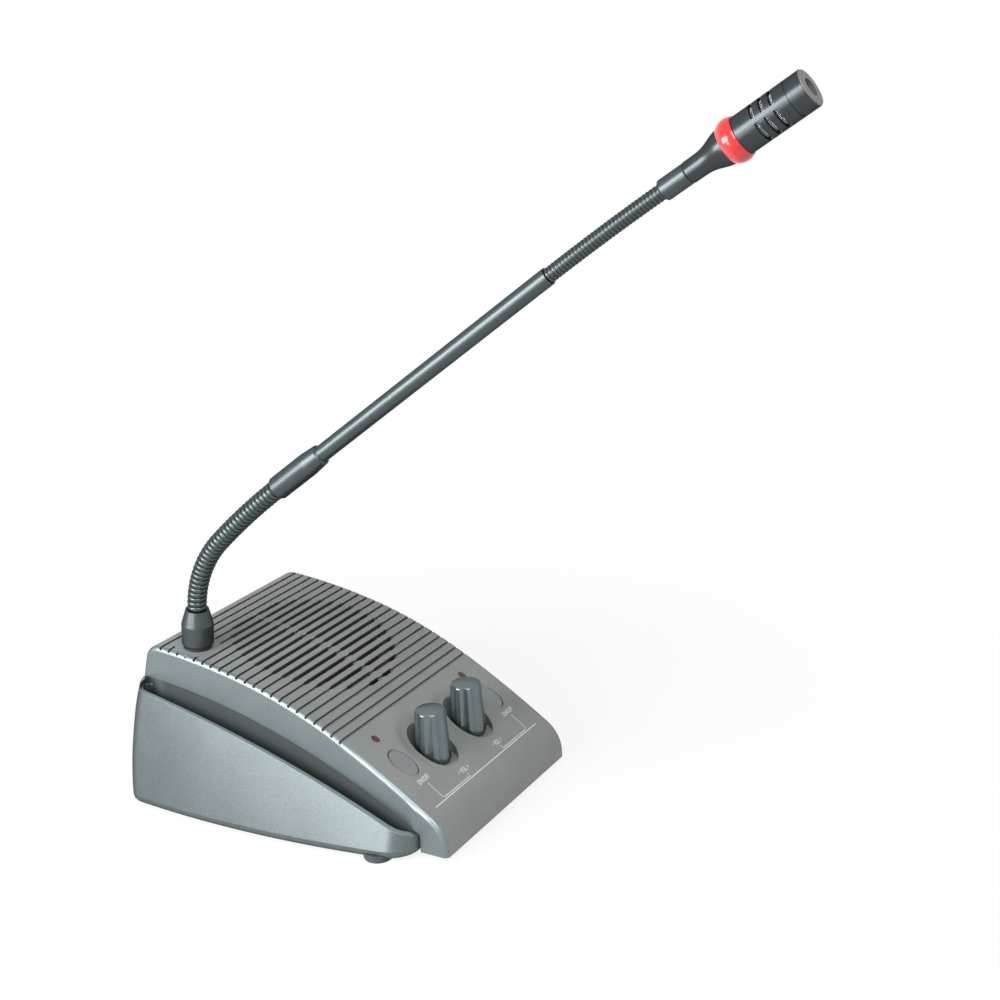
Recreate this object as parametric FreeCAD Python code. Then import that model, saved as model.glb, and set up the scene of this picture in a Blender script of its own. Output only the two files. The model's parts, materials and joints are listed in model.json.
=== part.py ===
"""Desk intercom with a gooseneck microphone: a wedge case with a slotted speaker grille, a control panel
with two knobs and two push buttons, and a microphone on two flexible sections.

Millimetres. X runs to the user's right, -Y towards the user, +Z up. The origin is the middle of the
case's flat underside; the rubber feet reach below it.
"""
import FreeCAD, Part
import math
import os
from FreeCAD import Vector

os.makedirs("parts", exist_ok=True)

# ---- case outline, seen from the side: stretches of the top from the rear edge to the front face ----
top_setback = 5.7           # rear end of the top ahead of the case's rearmost point
round_run = 9.4             # rounded rear edge of the cover
crown_run = 52.2            # rear half of the grille
grille_run = 50.4           # front half of the grille
panel_run = 48.9            # control panel
lip_run = 7.8               # rounded front edge
rear_wall_slope = -73.5     # degrees below level of the cover's rear wall, which rises forwards
rear_slope = 4.4            # where the rounded rear edge ends
crown_slope = 13.9          # where the crown ends
grille_slope = 28.0         # where the grille ends
panel_slope = 35.0          # where the panel ends
lip_slope = 87.0            # where the front edge meets the front face
lip_height = 3.5            # straight front face above the underside

# ---- top cover ----
cover_width = 110.0
cover_wall = 2.5
cover_edge_radius = 2.4
skirt_rear_drop = 10.0      # lower edge of the rear wall below the rounded edge
skirt_mid_drop = 18.6       # side skirt's height at the middle
skirt_front_drop = 13.5     # above the front hook
hook_run = 14.4             # length of the hook that reaches down to the underside

# ---- grille ----
groove_count = 22
groove_pitch = 5.16
groove_first = 1.1          # first groove from the rounded rear edge, along the top
groove_width = 1.3
groove_depth = 1.3
slot_width = 2.2            # openings through the cover within the speaker's circle
slot_overrun = 1.5          # slots reach this far past the speaker's radius
slot_bridge = 3.2           # rib left between the two halves of a slot
shortest_slot = 5.0
slot_reach = 1.15           # depth of the slot cuts, in wall thicknesses

# ---- bottom case ----
case_wall = 2.2
floor_thickness = 2.6
cheek_foot_rear = 75.0      # half width at the underside, rear
cheek_foot_mid = 76.0
cheek_foot_front = 66.0
cheek_top_rear = 63.0       # half width at the cheek's upper edge, rear
cheek_top_mid = 64.5
cheek_top_front = 63.0
cheek_rear_gap = 2.4        # cheek's upper edge below the skirt, rear
cheek_mid_gap = 6.0
cheek_front_gap = 0.8
rear_corner_radius = 7.0
front_corner_radius = 13.0
least_corner = 1.0          # smallest rounding inside the case
cheek_corner_radius = 1.5   # at the rear end of the cheek's upper edge
rear_bow = (                # heights up the rear wall, each with its setback from the rearmost point
    (3.0, 1.3), (8.0, 0.65), (14.0, 0.2), (20.0, 0.0), (30.0, 0.25), (40.0, 0.95), (50.0, 2.2), (62.0, 4.1),
)
foot_bevel = ((0.0, 2.0), (1.6, 0.6), (3.4, 0.0))  # heights above the underside, each with its inset
label_seat_depth = 0.4      # shallow seat in the underside; its floor is at the height of the origin
label_seat_width = 60.0
label_seat_length = 40.0
channel_depth = 9.0         # of the channel between cheek and skirt
rear_web = 5.5              # solid stretch behind the channel
core_setback = 0.5          # core wall behind the skirt's outer face
core_wall = 1.8
seam_gap = 0.2              # between cover and case

# ---- fastening ----
screw_radius = 1.45
screw_head_radius = 2.9
screw_head_height = 1.9
screw_hole_clearance = 0.25
pilot_clearance = 0.05
drive_length = 1.1          # cross recess of a screw, in head radii
drive_width = 0.4           # and in head heights
drive_depth = 0.5           # and in head heights
head_rounding = 0.33        # and in head heights
screw_bite = 7.0            # length of a screw in its boss
boss_radius = 3.6
tower_radius = 4.6
tower_height = 12.0
counterbore_depth = 4.5
counterbore_clearance = 0.4
boss_x = 45.5
boss_rear_inset = 16.5      # from the rear face
boss_front_inset = 20.1     # from the front face

# ---- feet ----
foot_radius = 7.0
foot_height = 3.0
foot_edge = 1.0             # rounding of its lower edge
foot_recess = 0.8
foot_recess_clearance = 0.1
foot_front_x = 62.5
foot_front_inset = 32.4
foot_rear_x = 61.0
foot_rear_inset = 17.0

# ---- speaker ----
speaker_radius = 38.5
speaker_flange = 1.2
speaker_depth = 22.0
speaker_cone_wall = 0.5
cone_surround = ((1.0, 0.5), (2.5, 0.9), (3.5, 2.2))  # inward from the ledge, each with its depth
cone_rim_clearance = 0.3    # between the surround and the ledge's inner edge
cone_throat_rise = 2.0      # throat above the basket's floor
cone_cap_rise = 3.5         # dust cap above the throat
speaker_opening_radius = 34.0
speaker_ledge = 2.5         # shelf that the cone's rim is glued to
speaker_seat_drop = 7.2     # seat below the cover's outer surface at the speaker's middle
magnet_radius = 20.0
magnet_height = 9.0
magnet_plate = 1.5          # thickness of the front plate
magnet_back = 2.5           # thickness of the back plate
magnet_step = 1.5           # plates inside the ring's edge
basket_inset = 2.0          # basket's floor inside the magnet's edge
basket_window_width = 12.0
basket_window_margin = 2.0  # window below the flange and above the basket's floor
basket_window_end = 1.0     # window's outer end inside the speaker's radius
gasket_thickness = 1.0
seat_ring_width = 5.5
speaker_screw_count = 4
speaker_screw_gap = 0.7     # posts outside the speaker's flange
speaker_post_radius = 2.8
speaker_screw_radius = 1.1
speaker_screw_head_radius = 2.2
speaker_screw_head_height = 1.4

# ---- boards ----
board_thickness = 1.6
board_height = 8.0          # underside of the main board above the underside of the case
board_width = 76.0
board_length = 84.0
board_rear_inset = 5.0
board_post_radius = 3.0
board_screw_inset = 5.0
board_screw_radius = 1.25
board_screw_head_radius = 2.5
board_screw_head_height = 1.6
board_screw_bite = 4.0
heatsink_width = 26.0
heatsink_depth = 12.0
heatsink_height = 18.0
heatsink_fin = 1.6
heatsink_gap = 1.92         # between fins
heatsink_inset = 10.0       # from the main board's right edge
heatsink_setback = 24.0     # ahead of the sockets
chip_width = 16.0
chip_depth = 4.0
chip_height = 12.0
capacitor_edge = 0.6
capacitors = (              # from the board's left and rear edges, each with its radius and height
    (14.0, 20.0, 5.0, 16.0), (14.0, 34.0, 5.0, 16.0), (28.0, 21.6, 4.0, 12.0), (42.0, 21.6, 4.0, 12.0),
)
header_depth = 6.0
header_height = 7.0
headers = (                 # share of the board's half width, front edge from the board's front, and width
    (-0.79, 30.0, 8.0), (0.63, 8.0, 8.0), (0.0, 4.0, 20.0),
)
panel_board_width = 92.0
panel_board_length = 40.0
tower_clearance = 1.0       # panel board around the screw towers

# ---- knobs and potentiometers ----
knob_x = 15.9
knob_inset = 30.5           # axis from the front face
pocket_rx = 10.8            # pocket in the sloping panel, seen from above
pocket_ry = 12.2
pocket_wall = 1.8
pocket_floor = 24.0         # height of the pocket's floor
knob_gap = 0.8              # knob above the floor
knob_height = 26.9
knob_base_radius = 8.6
knob_top_radius = 7.4
knob_dome = 2.3             # height of the domed top, with its rounded rim
knob_rim_radius = 1.2
knob_flutes = 8
knob_flute_radius = 4.45
knob_flute_bite = 0.7
shaft_radius = 3.0
shaft_running_clearance = 0.05
shaft_in_knob = 16.0
bushing_radius = 3.5
bushing_clearance = 0.2
pot_radius = 8.0
pot_height = 7.5
pot_floor = 2.0             # below the shaft
pot_tab_width = 12.0
pot_tab_reach = 3.0         # beyond the pot's body
pot_tab_root = 2.0          # inside the pot's body
pot_tab_thickness = 1.2

# ---- push buttons ----
button_x = 38.4
button_inset = 32.0
button_rx = 5.5
button_ry = 6.9
button_clearance = 0.5
button_flange = 1.0
button_flange_height = 2.0
button_travel = 1.5
button_recess = 0.3         # top of the button below the panel
button_wall = 1.2
button_top_wall = 1.4
button_flange_drop = 1.6    # flange below the cover's inside at its front
button_post_drop = 2.0      # top of the inner post below the panel
plunger_grip = 3.0          # length of the plunger inside the button
switch_side = 8.5
switch_height = 6.0
plunger_side = 3.2
plunger_clearance = 0.08
plunger_depth = 3.5

# ---- indicator lamps ----
lamp_x = 38.2
lamp_inset = 46.7
lamp_radius = 1.9
lamp_clearance = 0.1
lamp_body = 7.0
lamp_rim = 0.5
lamp_rim_height = 1.5
lamp_rim_drop = 1.0         # rim's lower face below the body
lamp_recess = 0.1
lamp_lead_radius = 0.3
lamp_lead_spread = 1.27

# ---- rear sockets ----
socket_height = 7.0         # axis above the main board
socket_face_inset = 0.4     # face of a socket ahead of the rearmost point of the wall
socket_spacing = 20.0
socket_body_width = 12.0
socket_body_length = 14.0
socket_nose_radius = 4.4
socket_nose_clearance = 0.2
jack_hole_radius = 1.8
jack_hole_depth = 14.0
power_hole_radius = 3.1
power_hole_depth = 9.0
power_pin_radius = 1.0
power_pin_length = 8.0

# ---- microphone: base ----
mic_x = -43.0
mic_inset = 29.8            # collar axis ahead of the rear face
pad_radius = 10.8
collar_radius = 7.7
collar_foot_radius = 6.8
collar_foot_height = 2.6
collar_body_height = 12.5
collar_height = 20.0
collar_top_radius = 5.6
thread_radius = 4.0
thread_clearance = 0.3
thread_length = 9.0
nut_radius = 7.0
nut_height = 4.0
washer_radius = 8.0
washer_thickness = 1.0

# ---- microphone: stem ----
stem_elevation = 36.27      # degrees above level
stem_azimuth = 9.0          # degrees to the right of straight forward
head_elevation = 33.25      # of the microphone's head, and its azimuth as the stem's
head_azimuth = 5.0
flex_seat = 6.0             # length of flexible tube inside a collar or ferrule
lower_flex_radius = 4.7
lower_flex_bore = 2.9
lower_flex_straight = 1.3   # between the collar and the bend
lower_bend_length = 39.7    # tighter stretch of the bend
lower_bend_turn = 39.4      # degrees turned over that stretch
lower_sweep_length = 43.7   # gentler stretch, up to the ferrule
lower_split = 0.45          # share of the flexible section that its first half takes
ferrule_sleeve = 8.0        # length of the ferrule over the flexible section
ferrule_length = 22.4       # beyond the flexible section's end
ferrule_radius = 5.6
ferrule_top_radius = 4.95
ferrule_taper = 9.0
ferrule_edge = 0.8
tube_radius = 3.95
tube_bore = 3.0
tube_length = 138.2         # between the ferrules
tube_seat = 12.0            # length of the tube inside the ferrule
upper_flex_radius = 3.4
upper_flex_bore = 2.1
upper_flex_length = 60.3
upper_split = 0.5
upper_ferrule_radius = 4.5
upper_ferrule_length = 12.6
upper_ferrule_edge = 0.6
lead_radius = 1.6
lead_passage = 2.0          # radius of the passage for the lead
fit_gap = 0.02              # glued and crimped joints of the stem

# ---- microphone: head ----
neck_radius_low = 4.6
neck_radius_top = 7.5
neck_length = 18.4
neck_flare = (              # shares of the length, each with its radius
    (0.36, 4.72), (0.47, 4.92), (0.67, 5.95), (0.83, 6.98),
)
neck_seam = 0.3
neck_wall = 1.2
neck_rim = 2.0              # depth of the open end that takes the ring
ring_radius = 9.2
ring_neck_radius = 7.85      # at the neck's end
ring_barrel_radius = 8.4    # at the barrel's end
ring_length = 7.1
ring_bore = 6.3
lamp_board_thickness = 1.2
ring_lamps = 6
ring_lamp_length = 2.0
ring_lamp_width = 1.6
ring_lamp_height = 0.9
barrel_radius = 7.9
barrel_wall = 1.0
barrel_floor = 1.5
barrel_length = 30.5
barrel_slot_rows = 3
barrel_slot_count = 4
barrel_slot_angle = 74.0
barrel_slot_turn = -9.0     # degrees from the right hand side to the first bridge
barrel_slot_width = 1.75
barrel_slot_first = 9.2     # middle of the first row
barrel_slot_pitch = 4.25
barrel_groove = 24.0        # middle of the fine groove
barrel_groove_width = 0.5
barrel_groove_depth = 0.3
mesh_gap = 0.15
mesh_thickness = 0.4
disc_thickness = 2.2
disc_lip = 0.7              # rim that covers the barrel's end
disc_lip_radius = 7.65
disc_recess_radius = 3.75
disc_recess_depth = 1.9
disc_holes = 6
disc_hole_radius = 0.6
capsule_radius = 4.85
capsule_length = 5.0
holder_wall = 1.6
holder_length = 8.0

# ---- ranges used only to make clear cuts ----
far = 200.0
hair = 0.05
spare = 1.0                 # length of a cut beyond the face it starts from

UP = Vector(0, 0, 1)
ACROSS = Vector(1, 0, 0)


# ======================================================================= side profile
class Arc:
    """One stretch of the top, an arc whose slope grows from a to b over a run in -Y."""

    def __init__(self, run, a, b):
        self.a, self.b = math.radians(a), math.radians(b)
        self.radius = run / (math.sin(self.b) - math.sin(self.a))
        self.run = run
        self.drop = self.radius * (math.cos(self.a) - math.cos(self.b))
        self.length = self.radius * (self.b - self.a)

    def place(self, y, z):
        self.cy = y + self.radius * math.sin(self.a)
        self.cz = z - self.radius * math.cos(self.a)
        self.end_y = y - self.run

    def at(self, slope, offset=0.0):
        r = self.radius - offset
        return Vector(0, self.cy - r * math.sin(slope), self.cz + r * math.cos(slope))

    def edge(self, offset=0.0):
        middle = (self.a + self.b) / 2
        return Part.Arc(self.at(self.a, offset), self.at(middle, offset), self.at(self.b, offset)).toShape()


top_arcs = [
    Arc(round_run, rear_wall_slope, rear_slope),
    Arc(crown_run, rear_slope, crown_slope),
    Arc(grille_run, crown_slope, grille_slope),
    Arc(panel_run, grille_slope, panel_slope),
    Arc(lip_run, panel_slope, lip_slope),
]
case_depth = top_setback + sum(arc.run for arc in top_arcs)
rear_y = case_depth / 2
front_y = -case_depth / 2
y, z = rear_y - top_setback, lip_height + sum(arc.drop for arc in top_arcs)
for arc in top_arcs:
    arc.place(y, z)
    y, z = y - arc.run, z - arc.drop
rear_round = top_arcs[0]
crest_height = rear_round.cz + rear_round.radius


def top_at(y):
    """Point and slope of the cover's top at y."""
    for arc in top_arcs:
        if y >= arc.end_y:
            slope = math.asin(max(-1.0, min(1.0, (arc.cy - y) / arc.radius)))
            return arc.at(slope), slope
    return top_arcs[-1].at(top_arcs[-1].b), top_arcs[-1].b


def top_along(length):
    """Point and slope at a length along the top from the rounded rear edge."""
    for arc in top_arcs[1:]:
        if length <= arc.length:
            slope = arc.a + length / arc.radius
            return arc.at(slope), slope
        length -= arc.length
    return top_arcs[-1].at(top_arcs[-1].b), top_arcs[-1].b


def normal(slope):
    return Vector(0, -math.sin(slope), math.cos(slope))


def downhill(slope):
    return Vector(0, -math.cos(slope), -math.sin(slope))


# ======================================================================= small tools
def line(p, q):
    return Part.LineSegment(p, q).toShape()


def yz(y, z):
    return Vector(0, y, z)


def prism(edges, x0, x1):
    """Solid of a closed outline in the YZ plane between two values of x."""
    face = Part.Face(Part.Wire(edges))
    face.translate(Vector(x0, 0, 0))
    return face.extrude(Vector(x1 - x0, 0, 0))


def polygon(points, x0, x1):
    return prism([line(p, q) for p, q in zip(points, points[1:] + points[:1])], x0, x1)


def box(x0, x1, y0, y1, z0, z1):
    return Part.makeBox(x1 - x0, y1 - y0, z1 - z0, Vector(x0, y0, z0))


def rod(radius, start, axis, length):
    return Part.makeCylinder(radius, length, start, axis)


def tube(outer, inner, start, axis, length):
    return rod(outer, start, axis, length).cut(rod(inner, start - axis * hair, axis, length + 2 * hair))


def oval(rx, ry, x, y, z0, z1):
    """Upright prism on an oval, rx across and ry fore and aft."""
    long, short, turn = (ry, rx, True) if ry > rx else (rx, ry, False)
    curve = Part.Ellipse(Vector(0, 0, 0), long, max(short, hair))
    wire = Part.Wire(curve.toShape())
    if turn:
        wire.rotate(Vector(0, 0, 0), UP, 90)
    wire.translate(Vector(x, y, z0))
    return Part.Face(wire).extrude(Vector(0, 0, z1 - z0))


def turned(points, start, axis):
    """Solid of revolution: points are (radius, distance along the axis from start)."""
    outline = [Vector(r, 0, t) for r, t in points]
    wire = Part.makePolygon(outline + outline[:1])
    solid = Part.Face(wire).revolve(Vector(0, 0, 0), UP, 360)
    solid.Placement = FreeCAD.Placement(start, FreeCAD.Rotation(UP, axis))
    return solid


def fuse(shapes):
    first, rest = shapes[0], shapes[1:]
    return first.fuse(rest).removeSplitter() if rest else first


def group(shapes):
    return Part.makeCompound(shapes)


nodes = {}


def save(name, shape):
    nodes[name] = shape
    shape.exportStep(os.path.join("parts", name + ".step"))


# ======================================================================= shared places
half_cover = cover_width / 2
inner_half = half_cover - cover_wall
core_outer = half_cover - core_setback
core_inner = core_outer - core_wall
hook_y = front_y + hook_run
underside = -label_seat_depth


def skirt_edge():
    """Lower edge of the cover's side, rear to front."""
    corner = rear_round.at(rear_round.a)
    rear = yz(corner.y + skirt_rear_drop / math.tan(-rear_round.a), corner.z - skirt_rear_drop)
    middle_y = (rear.y + hook_y) / 2
    middle = yz(middle_y, top_at(middle_y)[0].z - skirt_mid_drop)
    front = yz(hook_y, top_at(hook_y)[0].z - skirt_front_drop)
    return rear, middle, front


def lowered(points, drops):
    return [Vector(p.x, p.y, p.z - d) for p, d in zip(points, drops)]


skirt = skirt_edge()
cheek_edge = lowered(skirt, (cheek_rear_gap, cheek_mid_gap, cheek_front_gap))
channel_floor = lowered(cheek_edge, (channel_depth, channel_depth, channel_depth / 2))


def under(points, z0, x0, x1):
    """Solid under an arc through three points and the level behind it, down to z0."""
    rear, middle, front = points
    back = rear_y + hair
    edges = [
        Part.Arc(rear, middle, front).toShape(),
        line(front, yz(front.y, z0)),
        line(yz(front.y, z0), yz(back, z0)),
        line(yz(back, z0), yz(back, rear.z)),
        line(yz(back, rear.z), rear),
    ]
    return prism(edges, x0, x1)


def rear_at(z):
    """Rear face of the case at a height."""
    low, high = rear_bow[0], rear_bow[-1]
    z = max(low[0], min(high[0], z))
    for (z0, setback0), (z1, setback1) in zip(rear_bow, rear_bow[1:]):
        if z <= z1:
            return rear_y - setback0 - (setback1 - setback0) * (z - z0) / (z1 - z0)


def under_cheek_edge():
    """Solid under the cheek's upper edge, with that edge's rear end rounded down into the rear wall."""
    rear, middle, front = cheek_edge
    corner = yz(rear_at(rear.z), rear.z)
    low = rear.z - 2 * cheek_corner_radius
    wall = (yz(rear_at(low), low) - corner).normalize()
    along = (Part.Arc(corner, middle, front).toShape().valueAt(1.0) - corner).normalize()
    half = wall.getAngle(along) / 2
    inward = (wall + along).normalize()
    reach = cheek_corner_radius / math.tan(half)
    centre = corner + inward * (cheek_corner_radius / math.sin(half))
    start, end = corner + along * reach, corner + wall * reach
    z0 = underside - spare
    heel = end + wall * ((end.z - z0) / -wall.z)
    edges = [
        Part.Arc(start, middle, front).toShape(),
        line(front, yz(front.y, z0)),
        line(yz(front.y, z0), heel),
        line(heel, end),
        Part.Arc(end, centre - inward * cheek_corner_radius, start).toShape(),
    ]
    return prism(edges, -far, far)


mic_y = rear_y - mic_inset
mic_seat, mic_slope = top_at(mic_y)
mic_seat = Vector(mic_x, mic_seat.y, mic_seat.z)
collar_axis = normal(mic_slope)

knob_y = front_y + knob_inset
button_y = front_y + button_inset
lamp_y = front_y + lamp_inset
pocket_underside = pocket_floor - pocket_wall
panel_board_top = pocket_underside - pot_height - seam_gap
panel_board_y = knob_y

boss_places = [
    Vector(sx * boss_x, y, 0)
    for y in (rear_y - boss_rear_inset, front_y + boss_front_inset)
    for sx in (-1, 1)
]
foot_places = [
    Vector(sx * x, y, 0)
    for x, y in ((foot_rear_x, rear_y - foot_rear_inset), (foot_front_x, front_y + foot_front_inset))
    for sx in (-1, 1)
]

speaker_length = groove_first + (groove_count / 2 - 1) * groove_pitch
speaker_top, speaker_slope = top_along(speaker_length)
speaker_axis = normal(speaker_slope)
speaker_seat = speaker_top - speaker_axis * speaker_seat_drop
speaker_screw_circle = speaker_radius + speaker_screw_gap
slot_circle_radius = speaker_radius + slot_overrun


# ======================================================================= top cover
def cover_blank():
    rear, middle, front = skirt
    edges = [arc.edge() for arc in top_arcs]
    lip_end = top_arcs[-1].at(top_arcs[-1].b)
    edges += [
        line(lip_end, yz(lip_end.y, underside)),
        line(yz(lip_end.y, underside), yz(hook_y, underside)),
        line(yz(hook_y, underside), front),
        Part.Arc(front, middle, rear).toShape(),
        line(rear, rear_round.at(rear_round.a)),
    ]
    blank = prism(edges, -half_cover, half_cover)

    def rounded(edge):
        a, b = edge.Vertexes[0].Point, edge.Vertexes[-1].Point
        side = abs(abs(a.x) - half_cover) < hair and abs(abs(b.x) - half_cover) < hair
        if not side or a.x * b.x < 0:
            return False
        along_top = max(top_gap(a), top_gap(b)) < hair
        front_face = abs(a.y - lip_end.y) < hair and abs(b.y - lip_end.y) < hair
        rear_wall = min(a.z, b.z) > rear.z - hair and min(a.y, b.y) > rear_round.at(rear_round.a).y - hair
        return along_top or front_face or rear_wall

    return blank.makeFillet(cover_edge_radius, [e for e in blank.Edges if rounded(e)])


def top_gap(point):
    """How far a point lies from the top's profile, in height."""
    return abs(point.z - top_at(point.y)[0].z)


def cover_hollow():
    """Space inside the cover."""
    first = rear_round.at(rear_round.a, cover_wall)
    last = top_arcs[-1].at(top_arcs[-1].b, cover_wall)
    heel = first + downhill(rear_round.a) * (-(first.z - underside) / math.sin(-rear_round.a))
    edges = [arc.edge(cover_wall) for arc in top_arcs]
    edges += [line(last, yz(last.y, -far)), line(yz(last.y, -far), yz(heel.y, -far))]
    edges += [line(yz(heel.y, -far), heel), line(heel, first)]
    return prism(edges, -inner_half, inner_half)


def groove_cutters():
    """Shallow grooves across the whole top, each lying square to the surface."""
    cutters = []
    for index in range(groove_count):
        point, slope = top_along(groove_first + index * groove_pitch)
        along, out = downhill(slope) * (groove_width / 2), normal(slope)
        low, high = point - out * groove_depth, point + out * groove_depth
        cutters.append(polygon([low - along, low + along, high + along, high - along], -far, far))
    pad = rod(pad_radius, mic_seat - collar_axis * far / 2, collar_axis, far)
    return [cutter.cut(pad) for cutter in cutters]


def slot_cutters():
    """Openings over the speaker: two halves of each groove inside the speaker's circle."""
    cutters = []
    for index in range(groove_count):
        point, slope = top_along(groove_first + index * groove_pitch)
        reach = slot_circle_radius ** 2 - (point.y - speaker_top.y) ** 2
        if reach <= 0 or math.sqrt(reach) < shortest_slot + slot_bridge / 2:
            continue
        along, out = downhill(slope) * (slot_width / 2), normal(slope)
        low, high = point - out * cover_wall * slot_reach, point + out * cover_wall
        outline = [low - along, low + along, high + along, high - along]
        for side in (-1, 1):
            ends = sorted((side * slot_bridge / 2, side * math.sqrt(reach)))
            cutters.append(polygon(outline, ends[0], ends[1]))
    return cutters


def make_top_cover():
    blank = cover_blank()
    shell = blank.cut(cover_hollow())
    extras = []
    # pockets that the knobs stand in
    for side in (-1, 1):
        cup = oval(pocket_rx + pocket_wall, pocket_ry + pocket_wall, side * knob_x, knob_y,
                   pocket_underside, crest_height)
        extras.append(cup.common(blank))
    # seat ring and posts of the speaker
    ring = tube(speaker_radius + hair, speaker_radius - seat_ring_width, speaker_seat, speaker_axis, far / 4)
    extras.append(ring.common(blank))
    for place in speaker_screw_places():
        post = rod(speaker_post_radius, place, speaker_axis, far / 4)
        extras.append(post.common(blank))
    # bosses for the case screws
    for place in boss_places:
        boss = rod(boss_radius, Vector(place.x, place.y, tower_height + seam_gap), UP, far)
        extras.append(boss.common(blank))
    # flat inside face for the microphone's lock nut
    pad_start = mic_seat - collar_axis * (cover_wall + washer_thickness)
    pad = rod(washer_radius + seam_gap, pad_start, collar_axis, far / 8)
    extras.append(pad.common(blank))
    cover = shell.fuse(extras)
    cuts = groove_cutters() + slot_cutters()
    for side in (-1, 1):
        x = side * knob_x
        cuts.append(oval(pocket_rx, pocket_ry, x, knob_y, pocket_floor, far))
        cuts.append(rod(bushing_radius + bushing_clearance, Vector(x, knob_y, 0), UP, far))
        cuts.append(oval(button_rx + button_clearance, button_ry + button_clearance, side * button_x, button_y,
                         0, far))
        cuts.append(rod(lamp_radius + lamp_clearance, Vector(side * lamp_x, lamp_y, 0), UP, far))
    for place in speaker_screw_places():
        cuts.append(rod(speaker_screw_radius + pilot_clearance, place - speaker_axis * hair, speaker_axis,
                        speaker_screw_bite()))
    for place in boss_places:
        cuts.append(rod(screw_radius + pilot_clearance, Vector(place.x, place.y, 0), UP,
                        tower_height + screw_bite + spare))
    cuts.append(rod(thread_radius + thread_clearance, mic_seat - collar_axis * far / 8, collar_axis, far / 4))
    return cover.cut(cuts).removeSplitter()


def speaker_screw_places():
    """Where the speaker's screws enter the posts, on the seat plane."""
    places = []
    side = ACROSS
    forward = downhill(speaker_slope)
    for index in range(speaker_screw_count):
        angle = math.radians(45 + 360 / speaker_screw_count * index)
        spread = speaker_screw_circle + speaker_post_radius
        places.append(speaker_seat + side * (spread * math.cos(angle)) + forward * (spread * math.sin(angle)))
    return places


def speaker_screw_bite():
    return speaker_seat_drop - cover_wall


# ======================================================================= bottom case
def cheek_loft(inset, z0):
    """Flaring block from z0 up past the cheek's upper edge, inset by a wall."""
    stations = (
        (cheek_foot_rear, cheek_top_rear, cheek_edge[0]),
        (cheek_foot_mid, cheek_top_mid, cheek_edge[1]),
        (cheek_foot_front, cheek_top_front, cheek_edge[2]),
    )

    def outline(z, extra=0.0):
        drawn_in = inset + extra
        halves = [foot + (top - foot) * z / edge.z - drawn_in for foot, top, edge in stations]
        ys = [rear_at(z) - drawn_in, stations[1][2].y, stations[2][2].y + drawn_in]
        rear_r = max(rear_corner_radius - drawn_in, least_corner)
        front_r = max(front_corner_radius - drawn_in, least_corner)
        return rounded_outline(halves, ys, rear_r, front_r, z)

    foot_top = z0 if inset else z0 + foot_bevel[-1][0]
    levels = [foot_top] + [z for z, setback in rear_bow if z > foot_top + spare]
    block = Part.makeLoft([outline(z) for z in levels], True)
    if inset:
        return block
    bevel = Part.makeLoft([outline(z0 + height, drawn) for height, drawn in foot_bevel], True, True)
    return bevel.fuse(block)


def rounded_outline(halves, ys, rear_r, front_r, z):
    """Closed plan outline at height z: bowed sides, rounded corners."""
    (xr, xm, xf), (yr, ym, yf) = halves, ys
    bow = Part.Arc(Vector(xr, yr, z), Vector(xm, ym, z), Vector(xf, yf, z)).toShape().Curve
    circle = bow.Center, bow.Radius

    def on_bow(y):
        centre, radius = circle
        reach = math.sqrt(radius ** 2 - (y - centre.y) ** 2)
        return Vector(centre.x + reach if centre.x < xr else centre.x - reach, y, z)

    def half(sign):
        def m(p):
            return Vector(sign * p.x, p.y, p.z)
        rear_side, front_side = on_bow(yr - rear_r), on_bow(yf + front_r)
        rear_back = Vector(xr - rear_r, yr, z)
        front_face = Vector(xf - front_r, yf, z)
        rear_mid = corner_middle(Vector(xr, yr, z), rear_side, rear_back)
        front_mid = corner_middle(Vector(xf, yf, z), front_side, front_face)
        return [
            Part.Arc(m(rear_back), m(rear_mid), m(rear_side)).toShape(),
            Part.Arc(m(rear_side), m(on_bow(ym)), m(front_side)).toShape(),
            Part.Arc(m(front_side), m(front_mid), m(front_face)).toShape(),
        ], m(rear_back), m(front_face)

    right, right_back, right_front = half(1)
    left, left_back, left_front = half(-1)
    edges = right + [line(right_front, left_front)] + left[::-1] + [line(left_back, right_back)]
    return Part.Wire(Part.__sortEdges__(edges))


def corner_middle(corner, a, b):
    """Middle point of a rounding between a and b, which are equally far from the corner."""
    chord = (a + b) * 0.5
    half = (a - corner).getAngle(b - corner) / 2
    return corner + (chord - corner) * (1 / (1 + math.sin(half)))


def rear_shoulder(side):
    """Behind the channel, a slope from the cover's lower edge down to the cheek's upper edge."""
    inner, outer = side * (core_outer - hair), side * (cheek_top_rear + hair)
    low, high = cheek_edge[0].z, skirt[0].z - seam_gap
    corners = [(inner, underside), (outer, underside), (outer, low), (inner, high)]
    face = Part.Face(Part.makePolygon([Vector(x, rear_y - rear_web, z) for x, z in corners + corners[:1]]))
    return face.extrude(Vector(0, rear_web + hair, 0))


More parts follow.
